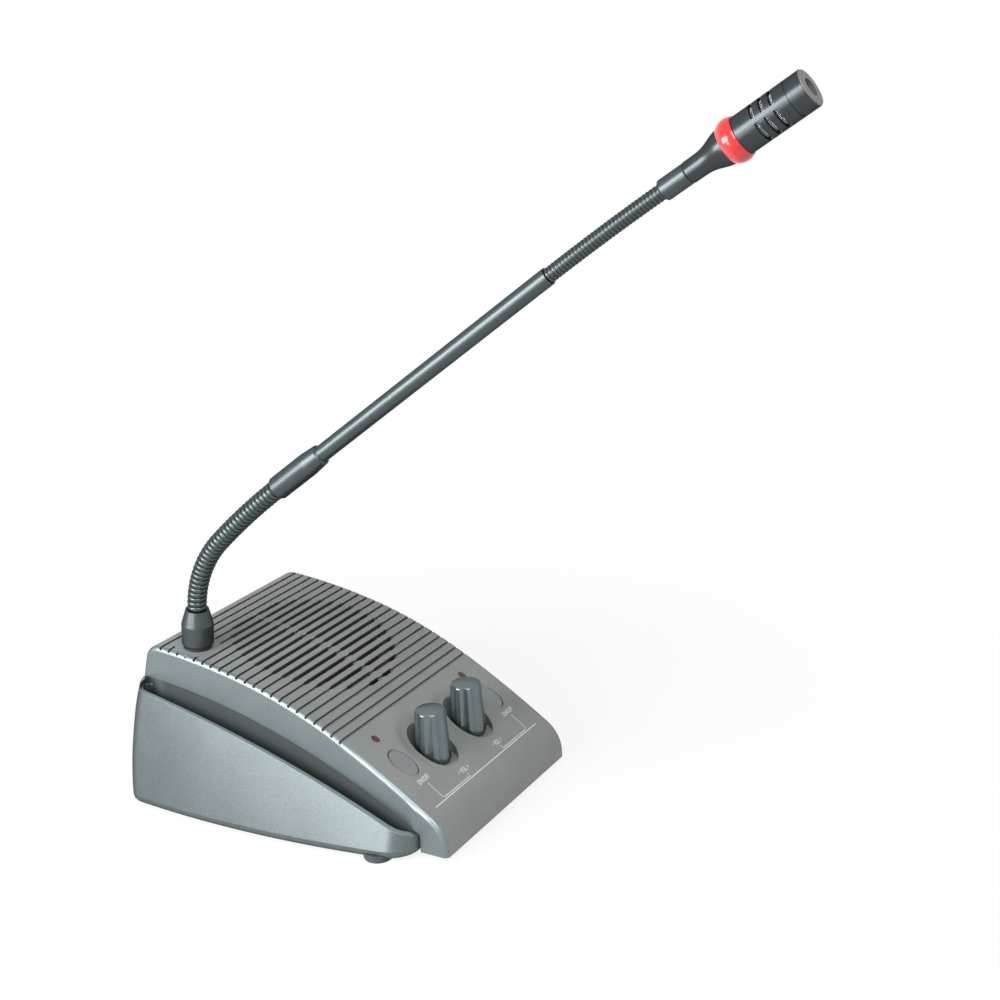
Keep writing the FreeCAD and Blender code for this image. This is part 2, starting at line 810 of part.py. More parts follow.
def make_bottom_case():
    block = cheek_loft(0.0, underside)
    outer = block.common(under_cheek_edge())
    core = block.common(under(lowered(skirt, (seam_gap,) * 3), underside, -core_outer, core_outer))
    for side in (-1, 1):
        outer = outer.fuse(block.common(rear_shoulder(side)))
    nose_half = inner_half - seam_gap
    nose_y = front_y + cover_wall + seam_gap
    nose = box(-nose_half, nose_half, nose_y, hook_y + hair, underside, floor_thickness)
    outer = outer.fuse([core, nose])

    channel_block = cheek_loft(case_wall, underside - spare)
    channel_block = channel_block.cut(under(channel_floor, underside - 2 * spare, -far, far))
    channel_block = channel_block.common(box(-far, far, -far, far, channel_floor[2].z, far))
    channel_half = (cheek_top_rear - case_wall - core_outer) / 2
    channel_end = rear_y - rear_web - channel_half
    channels = []
    for side in (-1, 1):
        x0, x1 = sorted((side * core_outer, side * far))
        channels.append(channel_block.common(box(x0, x1, hook_y, channel_end, -far, far)))
        end = rod(channel_half, Vector(side * (core_outer + channel_half), channel_end, -far), UP, far * 2)
        channels.append(channel_block.common(end))

    shelf = lowered(channel_floor, (case_wall,) * 3)
    room = cheek_loft(case_wall, floor_thickness)
    hollow = room.common(under(shelf, floor_thickness, -far, far))
    hollow = hollow.common(box(-far, far, hook_y + case_wall, far, floor_thickness, far))
    inside = [
        box(-core_inner, core_inner, -far, 0, floor_thickness, far),
        room.common(box(-core_inner, core_inner, -hair, far, floor_thickness, far)),
    ]
    case = outer.cut(channels + [hollow] + inside)

    added = []
    for place in boss_places:
        added.append(rod(tower_radius, place, UP, tower_height))
    for place in main_board_posts():
        added.append(rod(board_post_radius, Vector(place.x, place.y, 0), UP, board_height))
    for place in panel_board_posts():
        added.append(rod(board_post_radius, Vector(place.x, place.y, 0), UP, panel_board_top - board_thickness))
    case = case.fuse(added)

    seat_x, seat_y = label_seat_width / 2, label_seat_length / 2
    cuts = [box(-seat_x, seat_x, -seat_y, seat_y, underside - spare, 0)]
    for place in boss_places:
        cuts.append(rod(screw_radius + screw_hole_clearance, place - UP * spare, UP, tower_height + 2 * spare))
        cuts.append(rod(screw_head_radius + counterbore_clearance, place - UP * spare, UP, counterbore_depth + spare))
    for place, height in board_pilots():
        cuts.append(rod(board_screw_radius + pilot_clearance, Vector(place.x, place.y, floor_thickness), UP, height))
    for place in foot_places:
        cuts.append(rod(foot_radius + foot_recess_clearance, place - UP * spare, UP, foot_recess + spare))
    for x in socket_places():
        cuts.append(rod(socket_nose_radius + socket_nose_clearance, Vector(x, rear_y - rear_web * 2, socket_z()),
                        Vector(0, 1, 0), far / 4))
    return case.cut(cuts).removeSplitter()


def main_board_posts():
    rear = rear_y - board_rear_inset - board_screw_inset - socket_body_length
    front = rear_y - board_rear_inset - board_length + board_screw_inset
    x = board_width / 2 - board_screw_inset
    return [Vector(sx * x, y, board_height) for y in (rear, front) for sx in (-1, 1)]


def panel_board_posts():
    reach = panel_board_length / 2 - board_screw_inset
    return [Vector(0, panel_board_y + sy * reach, panel_board_top - board_thickness) for sy in (-1, 1)]


def board_pilots():
    return [(p, p.z) for p in main_board_posts() + panel_board_posts()]


def socket_places():
    return [index * socket_spacing for index in (-1, 0, 1)]


def socket_z():
    return board_height + board_thickness + socket_height


# ======================================================================= feet and screws
def make_rubber_feet():
    feet = []
    for place in foot_places:
        foot = rod(foot_radius, place - UP * foot_height, UP, foot_height + foot_recess)
        bottom = [e for e in foot.Edges if abs(e.CenterOfMass.z + foot_height) < hair and len(e.Vertexes) == 1]
        feet.append(foot.makeFillet(foot_edge, bottom))
    return group(feet)


def screw(seat, axis, radius, head_radius, head_height, length):
    """Pan-head screw: the head stands against the axis from the seat, the shank goes along it."""
    head = rod(head_radius, seat - axis * head_height, axis, head_height)
    slot_axis = axis.cross(ACROSS)
    rim = [e for e in head.Edges if len(e.Vertexes) == 1 and
           abs((e.CenterOfMass - seat).dot(axis) + head_height) < hair]
    head = head.makeFillet(head_height * head_rounding, rim)
    shank = rod(radius, seat - axis * hair, axis, length + hair)
    drive, blade = head_radius * drive_length, head_height * drive_width
    cross = []
    for along, wide in ((ACROSS, slot_axis), (slot_axis, ACROSS)):
        corner = seat - axis * (head_height + hair) - along * (drive / 2) - wide * (blade / 2)
        wire = Part.makePolygon([corner, corner + along * drive, corner + along * drive + wide * blade,
                                 corner + wide * blade, corner])
        cross.append(Part.Face(wire).extrude(axis * (head_height * drive_depth + hair)))
    return head.fuse(shank).cut(cross).removeSplitter()


def make_case_screws():
    length = tower_height - counterbore_depth + screw_bite
    return group([screw(p + UP * counterbore_depth, UP, screw_radius, screw_head_radius, screw_head_height, length)
                  for p in boss_places])


# ======================================================================= speaker
def speaker_point(depth):
    """Point on the speaker's axis at a depth under its gasket's seat."""
    return speaker_seat - speaker_axis * depth


def make_speaker_gasket():
    return tube(speaker_radius, speaker_radius - seat_ring_width, speaker_point(gasket_thickness), speaker_axis,
                gasket_thickness)


def make_speaker_frame():
    down = speaker_axis * -1
    start = speaker_point(gasket_thickness)
    basket_r = magnet_radius - basket_inset
    ledge = speaker_opening_radius - speaker_ledge
    base = speaker_depth - magnet_height
    outline = [
        (speaker_opening_radius, 0), (speaker_radius, 0), (speaker_radius, speaker_flange),
        (speaker_opening_radius + speaker_flange, speaker_flange * 2), (basket_r + speaker_flange, base),
        (basket_r + speaker_flange, base + speaker_flange), (magnet_radius / 2, base + speaker_flange),
        (magnet_radius / 2, base), (basket_r, base), (ledge, speaker_flange * 2), (ledge, speaker_flange),
        (speaker_opening_radius, speaker_flange),
    ]
    frame = turned(outline, start, down)
    ears = []
    for place in speaker_screw_places():
        seat = place - speaker_axis * (gasket_thickness + speaker_flange)
        ears.append(rod(speaker_post_radius, seat, speaker_axis, speaker_flange))
        reach = (place - speaker_seat).Length - (speaker_radius + speaker_opening_radius) / 2
        lug = box(-reach, 0, -speaker_post_radius, speaker_post_radius, 0, speaker_flange)
        outward = (place - speaker_seat).normalize()
        across = speaker_axis.cross(outward)
        lug.Placement = FreeCAD.Placement(seat, FreeCAD.Rotation(outward, across, speaker_axis, "ZXY"))
        ears.append(lug)
    frame = frame.fuse(ears)
    holes = [rod(speaker_screw_radius + screw_hole_clearance, p - speaker_axis * far / 8, speaker_axis, far / 4)
             for p in speaker_screw_places()]
    windows = []
    for index in range(speaker_screw_count):
        angle = 360 / speaker_screw_count * index
        half = basket_window_width / 2
        window = box(magnet_radius, speaker_radius - basket_window_end, -half, half,
                     basket_window_margin - base, -(speaker_flange + basket_window_margin))
        window.rotate(Vector(0, 0, 0), UP, angle)
        window.Placement = FreeCAD.Placement(start, FreeCAD.Rotation(UP, speaker_axis)).multiply(window.Placement)
        windows.append(window)
    return frame.cut(holes + windows).removeSplitter()


def make_speaker_cone():
    """Paper cone, whose rim is glued to the frame's ledge."""
    glued = speaker_opening_radius - speaker_ledge
    throat_depth = speaker_depth - magnet_height - cone_throat_rise
    seat = speaker_flange - speaker_cone_wall
    inner = [(0, throat_depth - cone_cap_rise), (magnet_radius / 2 - seam_gap, throat_depth)]
    inner += [(glued - inward, depth) for inward, depth in reversed(cone_surround)]
    front = inner + [(glued, seat), (speaker_opening_radius - seam_gap, seat)]
    back = inner + [(glued - cone_rim_clearance, seat), (speaker_opening_radius - seam_gap, seat)]
    back = [(radius, depth + speaker_cone_wall) for radius, depth in reversed(back)]
    return turned(front + back, speaker_point(gasket_thickness), speaker_axis * -1)


def make_speaker_magnet():
    down = speaker_axis * -1
    start = speaker_point(gasket_thickness + speaker_depth - magnet_height + speaker_flange)
    plate_radius, ring_height = magnet_radius - magnet_step, magnet_height - magnet_plate - magnet_back
    plate = rod(plate_radius, start, down, magnet_plate)
    ring = rod(magnet_radius, start + down * magnet_plate, down, ring_height)
    back = rod(plate_radius, start + down * (magnet_plate + ring_height), down, magnet_back)
    return fuse([plate, ring, back])


def make_speaker_screws():
    seat_drop = gasket_thickness + speaker_flange
    return group([
        screw(p - speaker_axis * seat_drop, speaker_axis, speaker_screw_radius, speaker_screw_head_radius,
              speaker_screw_head_height, seat_drop + speaker_screw_bite() - seam_gap)
        for p in speaker_screw_places()
    ])


# ======================================================================= boards and sockets
def make_main_board():
    rear = rear_y - board_rear_inset
    board = box(-board_width / 2, board_width / 2, rear - board_length, rear, board_height,
                board_height + board_thickness)
    holes = [rod(board_screw_radius + screw_hole_clearance, p - UP * spare, UP, far / 4) for p in main_board_posts()]
    return board.cut(holes)


def make_panel_board():
    half_w, half_l = panel_board_width / 2, panel_board_length / 2
    board = box(-half_w, half_w, panel_board_y - half_l, panel_board_y + half_l,
                panel_board_top - board_thickness, panel_board_top)
    holes = [rod(board_screw_radius + screw_hole_clearance, p - UP * spare, UP, far / 4) for p in panel_board_posts()]
    for place in boss_places[2:]:
        holes.append(rod(tower_radius + tower_clearance, Vector(place.x, place.y, 0), UP, far))
    return board.cut(holes)


def make_board_screws():
    screws = []
    for place in main_board_posts() + panel_board_posts():
        seat = Vector(place.x, place.y, place.z + board_thickness)
        screws.append(screw(seat, UP * -1, board_screw_radius, board_screw_head_radius, board_screw_head_height,
                            board_thickness + board_screw_bite))
    return group(screws)


def socket_body(x, hole_radius, hole_depth):
    board_top = board_height + board_thickness
    inner_face = rear_at(board_top) - case_wall - seam_gap
    face = rear_y - socket_face_inset
    shell = box(x - socket_body_width / 2, x + socket_body_width / 2, inner_face - socket_body_length, inner_face,
                board_top, board_top + socket_height * 2)
    nose = rod(socket_nose_radius, Vector(x, inner_face, socket_z()), Vector(0, 1, 0), face - inner_face)
    hole = rod(hole_radius, Vector(x, face - hole_depth, socket_z()), Vector(0, 1, 0), hole_depth + spare)
    return shell.fuse(nose).cut(hole).removeSplitter()


def make_power_socket(x):
    body = socket_body(x, power_hole_radius, power_hole_depth)
    bottom = rear_y - socket_face_inset - power_hole_depth
    pin = rod(power_pin_radius, Vector(x, bottom - hair, socket_z()), Vector(0, 1, 0), power_pin_length + hair)
    return body.fuse(pin).removeSplitter()


def heatsink_corner():
    """Left front corner of the heatsink, on the main board."""
    return Vector(board_width / 2 - heatsink_width - heatsink_inset,
                  rear_y - board_rear_inset - socket_body_length - heatsink_setback, board_height + board_thickness)


def make_heatsink():
    """Finned block that cools the amplifier."""
    corner = heatsink_corner()
    block = Part.makeBox(heatsink_width, heatsink_depth, heatsink_height, corner)
    gaps = []
    pitch = heatsink_fin + heatsink_gap
    for index in range(int((heatsink_width - heatsink_fin) / pitch)):
        start = corner + Vector(heatsink_fin + index * pitch, heatsink_fin * 1.6, -spare)
        gaps.append(Part.makeBox(heatsink_gap, heatsink_depth, heatsink_height + 2 * spare, start))
    return block.cut(gaps).removeSplitter()


def make_amplifier_chip():
    """Chip clamped to the heatsink's front."""
    start = heatsink_corner() + Vector((heatsink_width - chip_width) / 2, -chip_depth, 0)
    return Part.makeBox(chip_width, chip_depth - hair, chip_height, start)


def make_capacitors(board_top):
    cans = []
    for inset, setback, radius, height in capacitors:
        foot = Vector(inset - board_width / 2, rear_y - board_rear_inset - setback, board_top)
        can = rod(radius, foot, UP, height)
        rims = [e for e in can.Edges if len(e.Vertexes) == 1 and e.CenterOfMass.z > board_top + height - hair]
        cans.append(can.makeFillet(capacitor_edge, rims))
    return group(cans)


def make_lead_headers(board_top):
    """White plugs that the speaker, microphone and panel leads end in."""
    front = rear_y - board_rear_inset - board_length
    blocks = []
    for share, setback, width in headers:
        corner = Vector(share * board_width / 2 - width / 2, front + setback, board_top)
        blocks.append(Part.makeBox(width, header_depth, header_height, corner))
    return group(blocks)


# ======================================================================= knobs, buttons, lamps
knob_bottom = pocket_floor + knob_gap


def make_knob(x):
    shoulder = knob_height - knob_dome
    r0, r1 = knob_base_radius, knob_top_radius
    rim = knob_rim_radius
    crown = knob_dome - rim
    sphere = ((r1 - rim) ** 2 + crown ** 2) / (2 * crown)
    half = math.asin((r1 - rim) / sphere) / 2
    outline = [
        line(Vector(0, 0, 0), Vector(r0, 0, 0)),
        line(Vector(r0, 0, 0), Vector(r1, 0, shoulder)),
        Part.Arc(Vector(r1, 0, shoulder),
                 Vector(r1 - rim * (1 - math.sqrt(0.5)), 0, shoulder + rim * math.sqrt(0.5)),
                 Vector(r1 - rim, 0, shoulder + rim)).toShape(),
        Part.Arc(Vector(r1 - rim, 0, shoulder + rim),
                 Vector(sphere * math.sin(half), 0, knob_height - sphere * (1 - math.cos(half))),
                 Vector(0, 0, knob_height)).toShape(),
        line(Vector(0, 0, knob_height), Vector(0, 0, 0)),
    ]
    body = Part.Face(Part.Wire(outline)).revolve(Vector(0, 0, 0), UP, 360)
    lean = math.atan2(r1 - r0, shoulder)
    cuts = []
    for index in range(knob_flutes):
        flute = rod(knob_flute_radius, Vector(0, 0, -knob_height / 2), UP, knob_height * 2)
        flute.rotate(Vector(0, 0, 0), Vector(0, 1, 0), math.degrees(lean))
        flute.translate(Vector(r0 + knob_flute_radius - knob_flute_bite, 0, 0))
        flute.rotate(Vector(0, 0, 0), UP, 360 / knob_flutes * (index + 0.5))
        cuts.append(flute)
    cuts.append(rod(shaft_radius + fit_gap, Vector(0, 0, -hair), UP, shaft_in_knob + hair))
    knob = body.cut(cuts).removeSplitter()
    knob.translate(Vector(x, knob_y, knob_bottom))
    return knob


pot_base = panel_board_top


def make_pot(x):
    body = rod(pot_radius, Vector(x, knob_y, pot_base), UP, pot_height)
    bushing = rod(bushing_radius, Vector(x, knob_y, pot_base), UP, pocket_floor + knob_gap / 2 - pot_base)
    tab = box(x - pot_tab_width / 2, x + pot_tab_width / 2, knob_y + pot_radius - pot_tab_root,
              knob_y + pot_radius + pot_tab_reach, pot_base, pot_base + pot_tab_thickness)
    bore = rod(shaft_radius + shaft_running_clearance, Vector(x, knob_y, pot_base + pot_floor), UP, far)
    return fuse([body, bushing, tab]).cut(bore)


def make_pot_shaft(x):
    bottom = pot_base + pot_floor + seam_gap
    return rod(shaft_radius, Vector(x, knob_y, bottom), UP, knob_bottom + shaft_in_knob - bottom)


def panel_slab(top_drop, depth):
    """Layer of space under the panel's surface, from top_drop down to depth below it."""
    arcs = top_arcs[1:-1]
    first = arcs[0].at(arcs[0].a, top_drop)
    last = arcs[-1].at(arcs[-1].b, top_drop)
    edges = [arc.edge(top_drop) for arc in arcs]
    edges += [line(last, yz(last.y, depth)), line(yz(last.y, depth), yz(first.y, depth))]
    edges.append(line(yz(first.y, depth), first))
    return prism(edges, -far, far)


button_flange_top = top_at(button_y - button_ry - button_flange)[0].z - cover_wall - button_flange_drop
button_bottom = button_flange_top - button_flange_height


def make_button(x):
    def block(rx, ry, z0, top_drop):
        return oval(rx, ry, x, button_y, z0, far).common(panel_slab(top_drop, 0))

    cap = block(button_rx, button_ry, button_bottom, button_recess)
    flange = oval(button_rx + button_flange, button_ry + button_flange, x, button_y, button_bottom,
                  button_flange_top)
    hollow = block(button_rx - button_wall, button_ry - button_wall, button_bottom - spare,
                   button_recess + button_top_wall)
    half = plunger_side / 2
    post = box(x - 2 * half, x + 2 * half, button_y - 2 * half, button_y + 2 * half, button_bottom,
               top_at(button_y)[0].z - button_post_drop)
    socket = box(x - half, x + half, button_y - half, button_y + half, button_bottom - spare,
                 button_bottom + plunger_grip)
    post = post.common(block(button_rx, button_ry, button_bottom, button_recess + button_top_wall / 2))
    return fuse([fuse([cap, flange]).cut(hollow), post]).cut(socket)


def make_switch(x):
    half = switch_side / 2
    top = panel_board_top + switch_height
    body = box(x - half, x + half, button_y - half, button_y + half, panel_board_top, top)
    reach = plunger_side / 2 + plunger_clearance
    well = box(x - reach, x + reach, button_y - reach, button_y + reach,
               top - plunger_depth - button_travel - seam_gap, top + spare)
    return body.cut(well)


def make_plunger(x):
    half = plunger_side / 2
    top = panel_board_top + switch_height
    return box(x - half, x + half, button_y - half, button_y + half, top - plunger_depth,
               button_bottom + plunger_grip)


def make_lamp(x):
    top = top_at(lamp_y)[0].z
    body = rod(lamp_radius, Vector(x, lamp_y, top - lamp_body), UP, lamp_body * 2)
    body = body.common(panel_slab(lamp_recess, 0))
    rim = rod(lamp_radius + lamp_rim, Vector(x, lamp_y, top - lamp_body - lamp_rim_drop), UP, lamp_rim_height)
    leads = [rod(lamp_lead_radius, Vector(x + s * lamp_lead_spread, lamp_y, panel_board_top), UP,
                 top - lamp_body - panel_board_top) for s in (-1, 1)]
    return fuse([body, rim] + leads)


# ======================================================================= microphone stem
def pointing(azimuth, elevation):
    """Direction at degrees to the right of straight forward and degrees above level."""
    turn, rise = math.radians(azimuth), math.radians(elevation)
    return Vector(math.sin(turn), -math.cos(turn), 0) * math.cos(rise) + UP * math.sin(rise)


stem_axis = pointing(stem_azimuth, stem_elevation)
head_axis = pointing(head_azimuth, head_elevation)


class Bend:
    """Path in one plane, made of stretches that are each given as a length and the angle turned over it."""

    def __init__(self, start, before, after, stretches):
        self.start, self.before = start, before
        self.normal = before.cross(after).normalize()
        self.inward = self.normal.cross(before)
        self.stretches = stretches
        self.length = sum(length for length, turn in stretches)
        self.end = self.at(self.length)[0]

    def heading(self, angle):
        return self.before * math.cos(angle) + self.inward * math.sin(angle)

    def at(self, s):
        """Point and direction at a length along the path."""
        point, angle = self.start, 0.0
        for length, turn in self.stretches:
            part = min(s, length)
            turned_here = turn * part / length
            middle = self.heading(angle + turned_here / 2)
            chord = part if not turn else 2 * length / turn * math.sin(turned_here / 2)
            point, angle, s = point + middle * chord, angle + turned_here, s - part
            if s <= 0:
                break
        return point, self.heading(angle)

    def wire(self, s0, s1):
        """Path between two lengths."""
        edges, reached = [], 0.0
        for length, turn in self.stretches:
            a, b = max(s0, reached), min(s1, reached + length)
            reached += length
            if b - a < hair:
                continue
            if turn:
                edges.append(Part.Arc(self.at(a)[0], self.at((a + b) / 2)[0], self.at(b)[0]).toShape())
            else:
                edges.append(line(self.at(a)[0], self.at(b)[0]))
        return Part.Wire(edges)

    def sweep(self, radius, s0, s1):
        point, direction = self.at(s0)
        ring = Part.Wire(Part.makeCircle(radius, point, direction))
        return self.wire(s0, s1).makePipeShell([ring], True, True)

    def hose(self, radius, bore, s0, s1):
        """Hollow flexible tube with the lead inside it."""
        wall = self.sweep(radius, s0, s1).cut(self.sweep(bore, s0, s1))
        return group([wall, self.sweep(lead_radius, s0, s1)])


collar_top = mic_seat + collar_axis * collar_height
lower_turn = math.radians(lower_bend_turn)
lower_bend = Bend(collar_top, collar_axis, stem_axis, [
    (lower_flex_straight, 0.0),
    (lower_bend_length, lower_turn),
    (lower_sweep_length, collar_axis.getAngle(stem_axis) - lower_turn),
    (ferrule_sleeve, 0.0),
])
ferrule_start = lower_bend.end
tube_start = ferrule_start + stem_axis * ferrule_length
tube_end = tube_start + stem_axis * tube_length
upper_bend = Bend(tube_end, stem_axis, head_axis, [(upper_flex_length, stem_axis.getAngle(head_axis))])
upper_ferrule_start = upper_bend.end
neck_start = upper_ferrule_start + head_axis * upper_ferrule_length
ring_start = neck_start + head_axis * neck_length
barrel_start = ring_start + head_axis * ring_length
barrel_end = barrel_start + head_axis * barrel_length


def make_mic_collar():
    below = thread_length
    outline = [
        (lead_passage, -below), (thread_radius, -below), (thread_radius, 0), (collar_foot_radius, 0),
        (collar_foot_radius, collar_foot_height / 2), (collar_radius, collar_foot_height),
        (collar_radius, collar_body_height), (collar_top_radius, collar_height),
        (lower_flex_radius + fit_gap, collar_height), (lower_flex_radius + fit_gap, collar_height - flex_seat),
        (lead_passage, collar_height - flex_seat),
    ]
    return turned(outline, mic_seat, collar_axis)


def make_collar_washer():
    start = mic_seat - collar_axis * (cover_wall + washer_thickness * 2 + hair)
    return tube(washer_radius - seam_gap, thread_radius + thread_clearance, start, collar_axis, washer_thickness)


def make_collar_nut():
    top = mic_seat - collar_axis * (cover_wall + washer_thickness * 2 + hair * 2)
    corners = [Vector(nut_radius * math.cos(math.radians(60 * k)), nut_radius * math.sin(math.radians(60 * k)), 0)
               for k in range(6)]
    nut = Part.Face(Part.makePolygon(corners + corners[:1])).extrude(UP * -nut_height)
    nut = nut.cut(rod(thread_radius + fit_gap, UP * -far, UP, far * 2))
    nut.Placement = FreeCAD.Placement(top, FreeCAD.Rotation(UP, collar_axis))
    return nut


def make_lower_flex(part):
    middle = lower_bend.length * lower_split
    inside = lower_bend.start - collar_axis * (flex_seat - fit_gap)
    if part == "a":
        wall = lower_bend.hose(lower_flex_radius, lower_flex_bore, 0.0, middle)
        seat = tube(lower_flex_radius, lower_flex_bore, inside, collar_axis, flex_seat - fit_gap)
        lead = rod(lead_radius, inside, collar_axis, flex_seat - fit_gap)
        return group([wall.Solids[0].fuse(seat).removeSplitter(), wall.Solids[1].fuse(lead).removeSplitter()])
    return lower_bend.hose(lower_flex_radius, lower_flex_bore, middle, lower_bend.length)


def make_ferrule():
    tip = ferrule_top_radius - ferrule_edge
    outline = [
        (lower_flex_radius + fit_gap, -ferrule_sleeve), (ferrule_radius - ferrule_edge / 2, -ferrule_sleeve),
        (ferrule_radius, ferrule_edge - ferrule_sleeve), (ferrule_radius, ferrule_length - ferrule_taper),
        (ferrule_top_radius, ferrule_length - ferrule_edge), (tip, ferrule_length),
        (tube_radius + fit_gap, ferrule_length), (tube_radius + fit_gap, ferrule_length - tube_seat),
        (lead_passage, ferrule_length - tube_seat), (lead_passage, 0), (lower_flex_radius + fit_gap, 0),
    ]
    return turned(outline, ferrule_start, stem_axis)


def make_stem_tube():
    start = tube_start - stem_axis * (tube_seat - fit_gap)
    return tube(tube_radius, tube_bore, start, stem_axis, tube_length + tube_seat - fit_gap)


def make_stem_lead():
    return rod(lead_radius, ferrule_start, stem_axis, ferrule_length + tube_length)


def make_upper_flex(part):
    middle = upper_bend.length * upper_split
    if part == "a":
        return upper_bend.hose(upper_flex_radius, upper_flex_bore, 0.0, middle)
    return upper_bend.hose(upper_flex_radius, upper_flex_bore, middle, upper_bend.length)


def make_tube_plug():
    """Turned plug in the tube's end that grips the upper flexible section."""
    length = flex_seat
    return tube(tube_bore - fit_gap, lead_passage, tube_end - stem_axis * length, stem_axis, length)


def make_upper_ferrule():
    r, edge, length = upper_ferrule_radius, upper_ferrule_edge, upper_ferrule_length
    slack = edge * (1 - math.sqrt(0.5))
    outline = [
        (lead_passage, 0), (r - edge, 0), (r - slack, slack), (r, edge), (r, length - edge),
        (r - slack, length - slack), (r - edge, length), (lead_passage, length),
    ]
    return turned(outline, upper_ferrule_start, head_axis)


def make_head_lead():
    return rod(lead_radius, upper_ferrule_start, head_axis, upper_ferrule_length + neck_length)


def head_frame(start):
    """Placement with Z along the head and X to its right, level."""
    right = head_axis.cross(UP).normalize()
    return FreeCAD.Placement(start, FreeCAD.Rotation(right, head_axis.cross(right), head_axis, "ZXY"))


def lathe(edges, start):
    """Solid of revolution about the head's axis: the edges lie in the XZ plane."""
    solid = Part.Face(Part.Wire(edges)).revolve(Vector(0, 0, 0), UP, 360)
    solid.Placement = head_frame(start)
    return solid


def chain(points):
    """Straight edges through (radius, distance) points."""
    corners = [Vector(r, 0, t) for r, t in points]
    return [line(p, q) for p, q in zip(corners, corners[1:])]


def make_mic_neck():
    low, top = neck_radius_low, neck_radius_top
    bore = top - neck_wall
    flare = [(low, neck_seam)] + [(r, share * neck_length) for share, r in neck_flare] + [(top, neck_length)]
    curve = Part.BSplineCurve()
    curve.interpolate([Vector(r, 0, t) for r, t in flare])
    inside = [(top, neck_length), (bore, neck_length), (bore, neck_length - neck_rim),
              (lead_passage, neck_length / 2), (lead_passage, 0), (low - neck_seam, 0), (low, neck_seam)]
    return lathe([curve.toShape()] + chain(inside), neck_start)


def make_light_ring():
    bulge = Part.Arc(Vector(ring_neck_radius, 0, 0), Vector(ring_radius, 0, ring_length / 2),
                     Vector(ring_barrel_radius, 0, ring_length)).toShape()
    inside = [(ring_barrel_radius, ring_length), (ring_bore, ring_length), (ring_bore, 0), (ring_neck_radius, 0)]
    return lathe([bulge] + chain(inside), ring_start)


def make_ring_lamp_board():
    top = ring_length / 2
    board = tube(ring_bore - fit_gap, lead_passage * 1.2, Vector(0, 0, top), UP, lamp_board_thickness)
    lamps = []
    outer = ring_bore - ring_lamp_length / 4
    half = ring_lamp_width / 2
    for index in range(ring_lamps):
        lamp = box(outer - ring_lamp_length, outer, -half, half, top - ring_lamp_height, top)
        lamp.rotate(Vector(0, 0, 0), UP, 360 / ring_lamps * index)
        lamps.append(lamp)
    board = fuse([board] + lamps)
    board.Placement = head_frame(ring_start)
    return board


def barrel_cutters():
    """Rows of long windows around the barrel, with narrow bridges between them."""
    cutters = []
    pitch = 360 / barrel_slot_count
    first = barrel_slot_turn + (pitch - barrel_slot_angle) / 2
    for row in range(barrel_slot_rows):
        low = barrel_slot_first + row * barrel_slot_pitch - barrel_slot_width / 2
        for index in range(barrel_slot_count):
            wedge = Part.makeCylinder(barrel_radius * 2, barrel_slot_width, Vector(0, 0, low), UP,
                                      barrel_slot_angle)
            wedge.rotate(Vector(0, 0, 0), UP, first + pitch * index)
            cutters.append(wedge)
    low = barrel_groove - barrel_groove_width / 2
    cutters.append(tube(barrel_radius * 2, barrel_radius - barrel_groove_depth, Vector(0, 0, low), UP,
                        barrel_groove_width))
    return cutters


def make_mic_barrel():
    blank = tube(barrel_radius, barrel_radius - barrel_wall, Vector(0, 0, 0), UP, barrel_length)
    floor = tube(barrel_radius - barrel_wall + hair, lead_passage, Vector(0, 0, 0), UP, barrel_floor)
    barrel = blank.fuse(floor).cut(barrel_cutters()).removeSplitter()
    barrel.Placement = head_frame(barrel_start)
    return barrel


def make_barrel_mesh():
    radius = barrel_radius - barrel_wall - mesh_gap
    start = barrel_start + head_axis * (barrel_floor + seam_gap)
    length = barrel_length - barrel_floor - disc_thickness - 2 * seam_gap
    return tube(radius, radius - mesh_thickness, start, head_axis, length)


def make_front_disc():
    plug = rod(barrel_radius - barrel_wall - fit_gap, Vector(0, 0, -disc_thickness), UP, disc_thickness + hair)
    lip = rod(disc_lip_radius, Vector(0, 0, 0), UP, disc_lip)
    edge = [e for e in lip.Edges if len(e.Vertexes) == 1 and e.CenterOfMass.z > disc_lip / 2]
    plate = plug.fuse(lip.makeFillet(disc_lip / 2, edge))
    cuts = [rod(disc_recess_radius, Vector(0, 0, disc_lip - disc_recess_depth), UP, disc_recess_depth + spare)]
    for index in range(disc_holes):
        hole = rod(disc_hole_radius, Vector(disc_recess_radius / 2, 0, -far / 2), UP, far)
        hole.rotate(Vector(0, 0, 0), UP, 360 / disc_holes * index)
        cuts.append(hole)
    disc = plate.cut(cuts).removeSplitter()
    disc.Placement = head_frame(barrel_end)
    return disc


def capsule_start():
    return barrel_end - head_axis * (disc_thickness + seam_gap + capsule_length)


def make_mic_capsule():
    return rod(capsule_radius, capsule_start(), head_axis, capsule_length)


def make_capsule_holder():
    outer = barrel_radius - barrel_wall - mesh_gap - mesh_thickness - seam_gap
    start = capsule_start() - head_axis * (holder_length - capsule_length)
    return tube(outer, capsule_radius + fit_gap, start, head_axis, holder_length).fuse(
        tube(outer, lead_passage, start, head_axis, holder_wall)).removeSplitter()


def make_capsule_lead():
    start = barrel_start
    return rod(lead_radius, start, head_axis, (capsule_start() - start).dot(head_axis) - holder_wall)


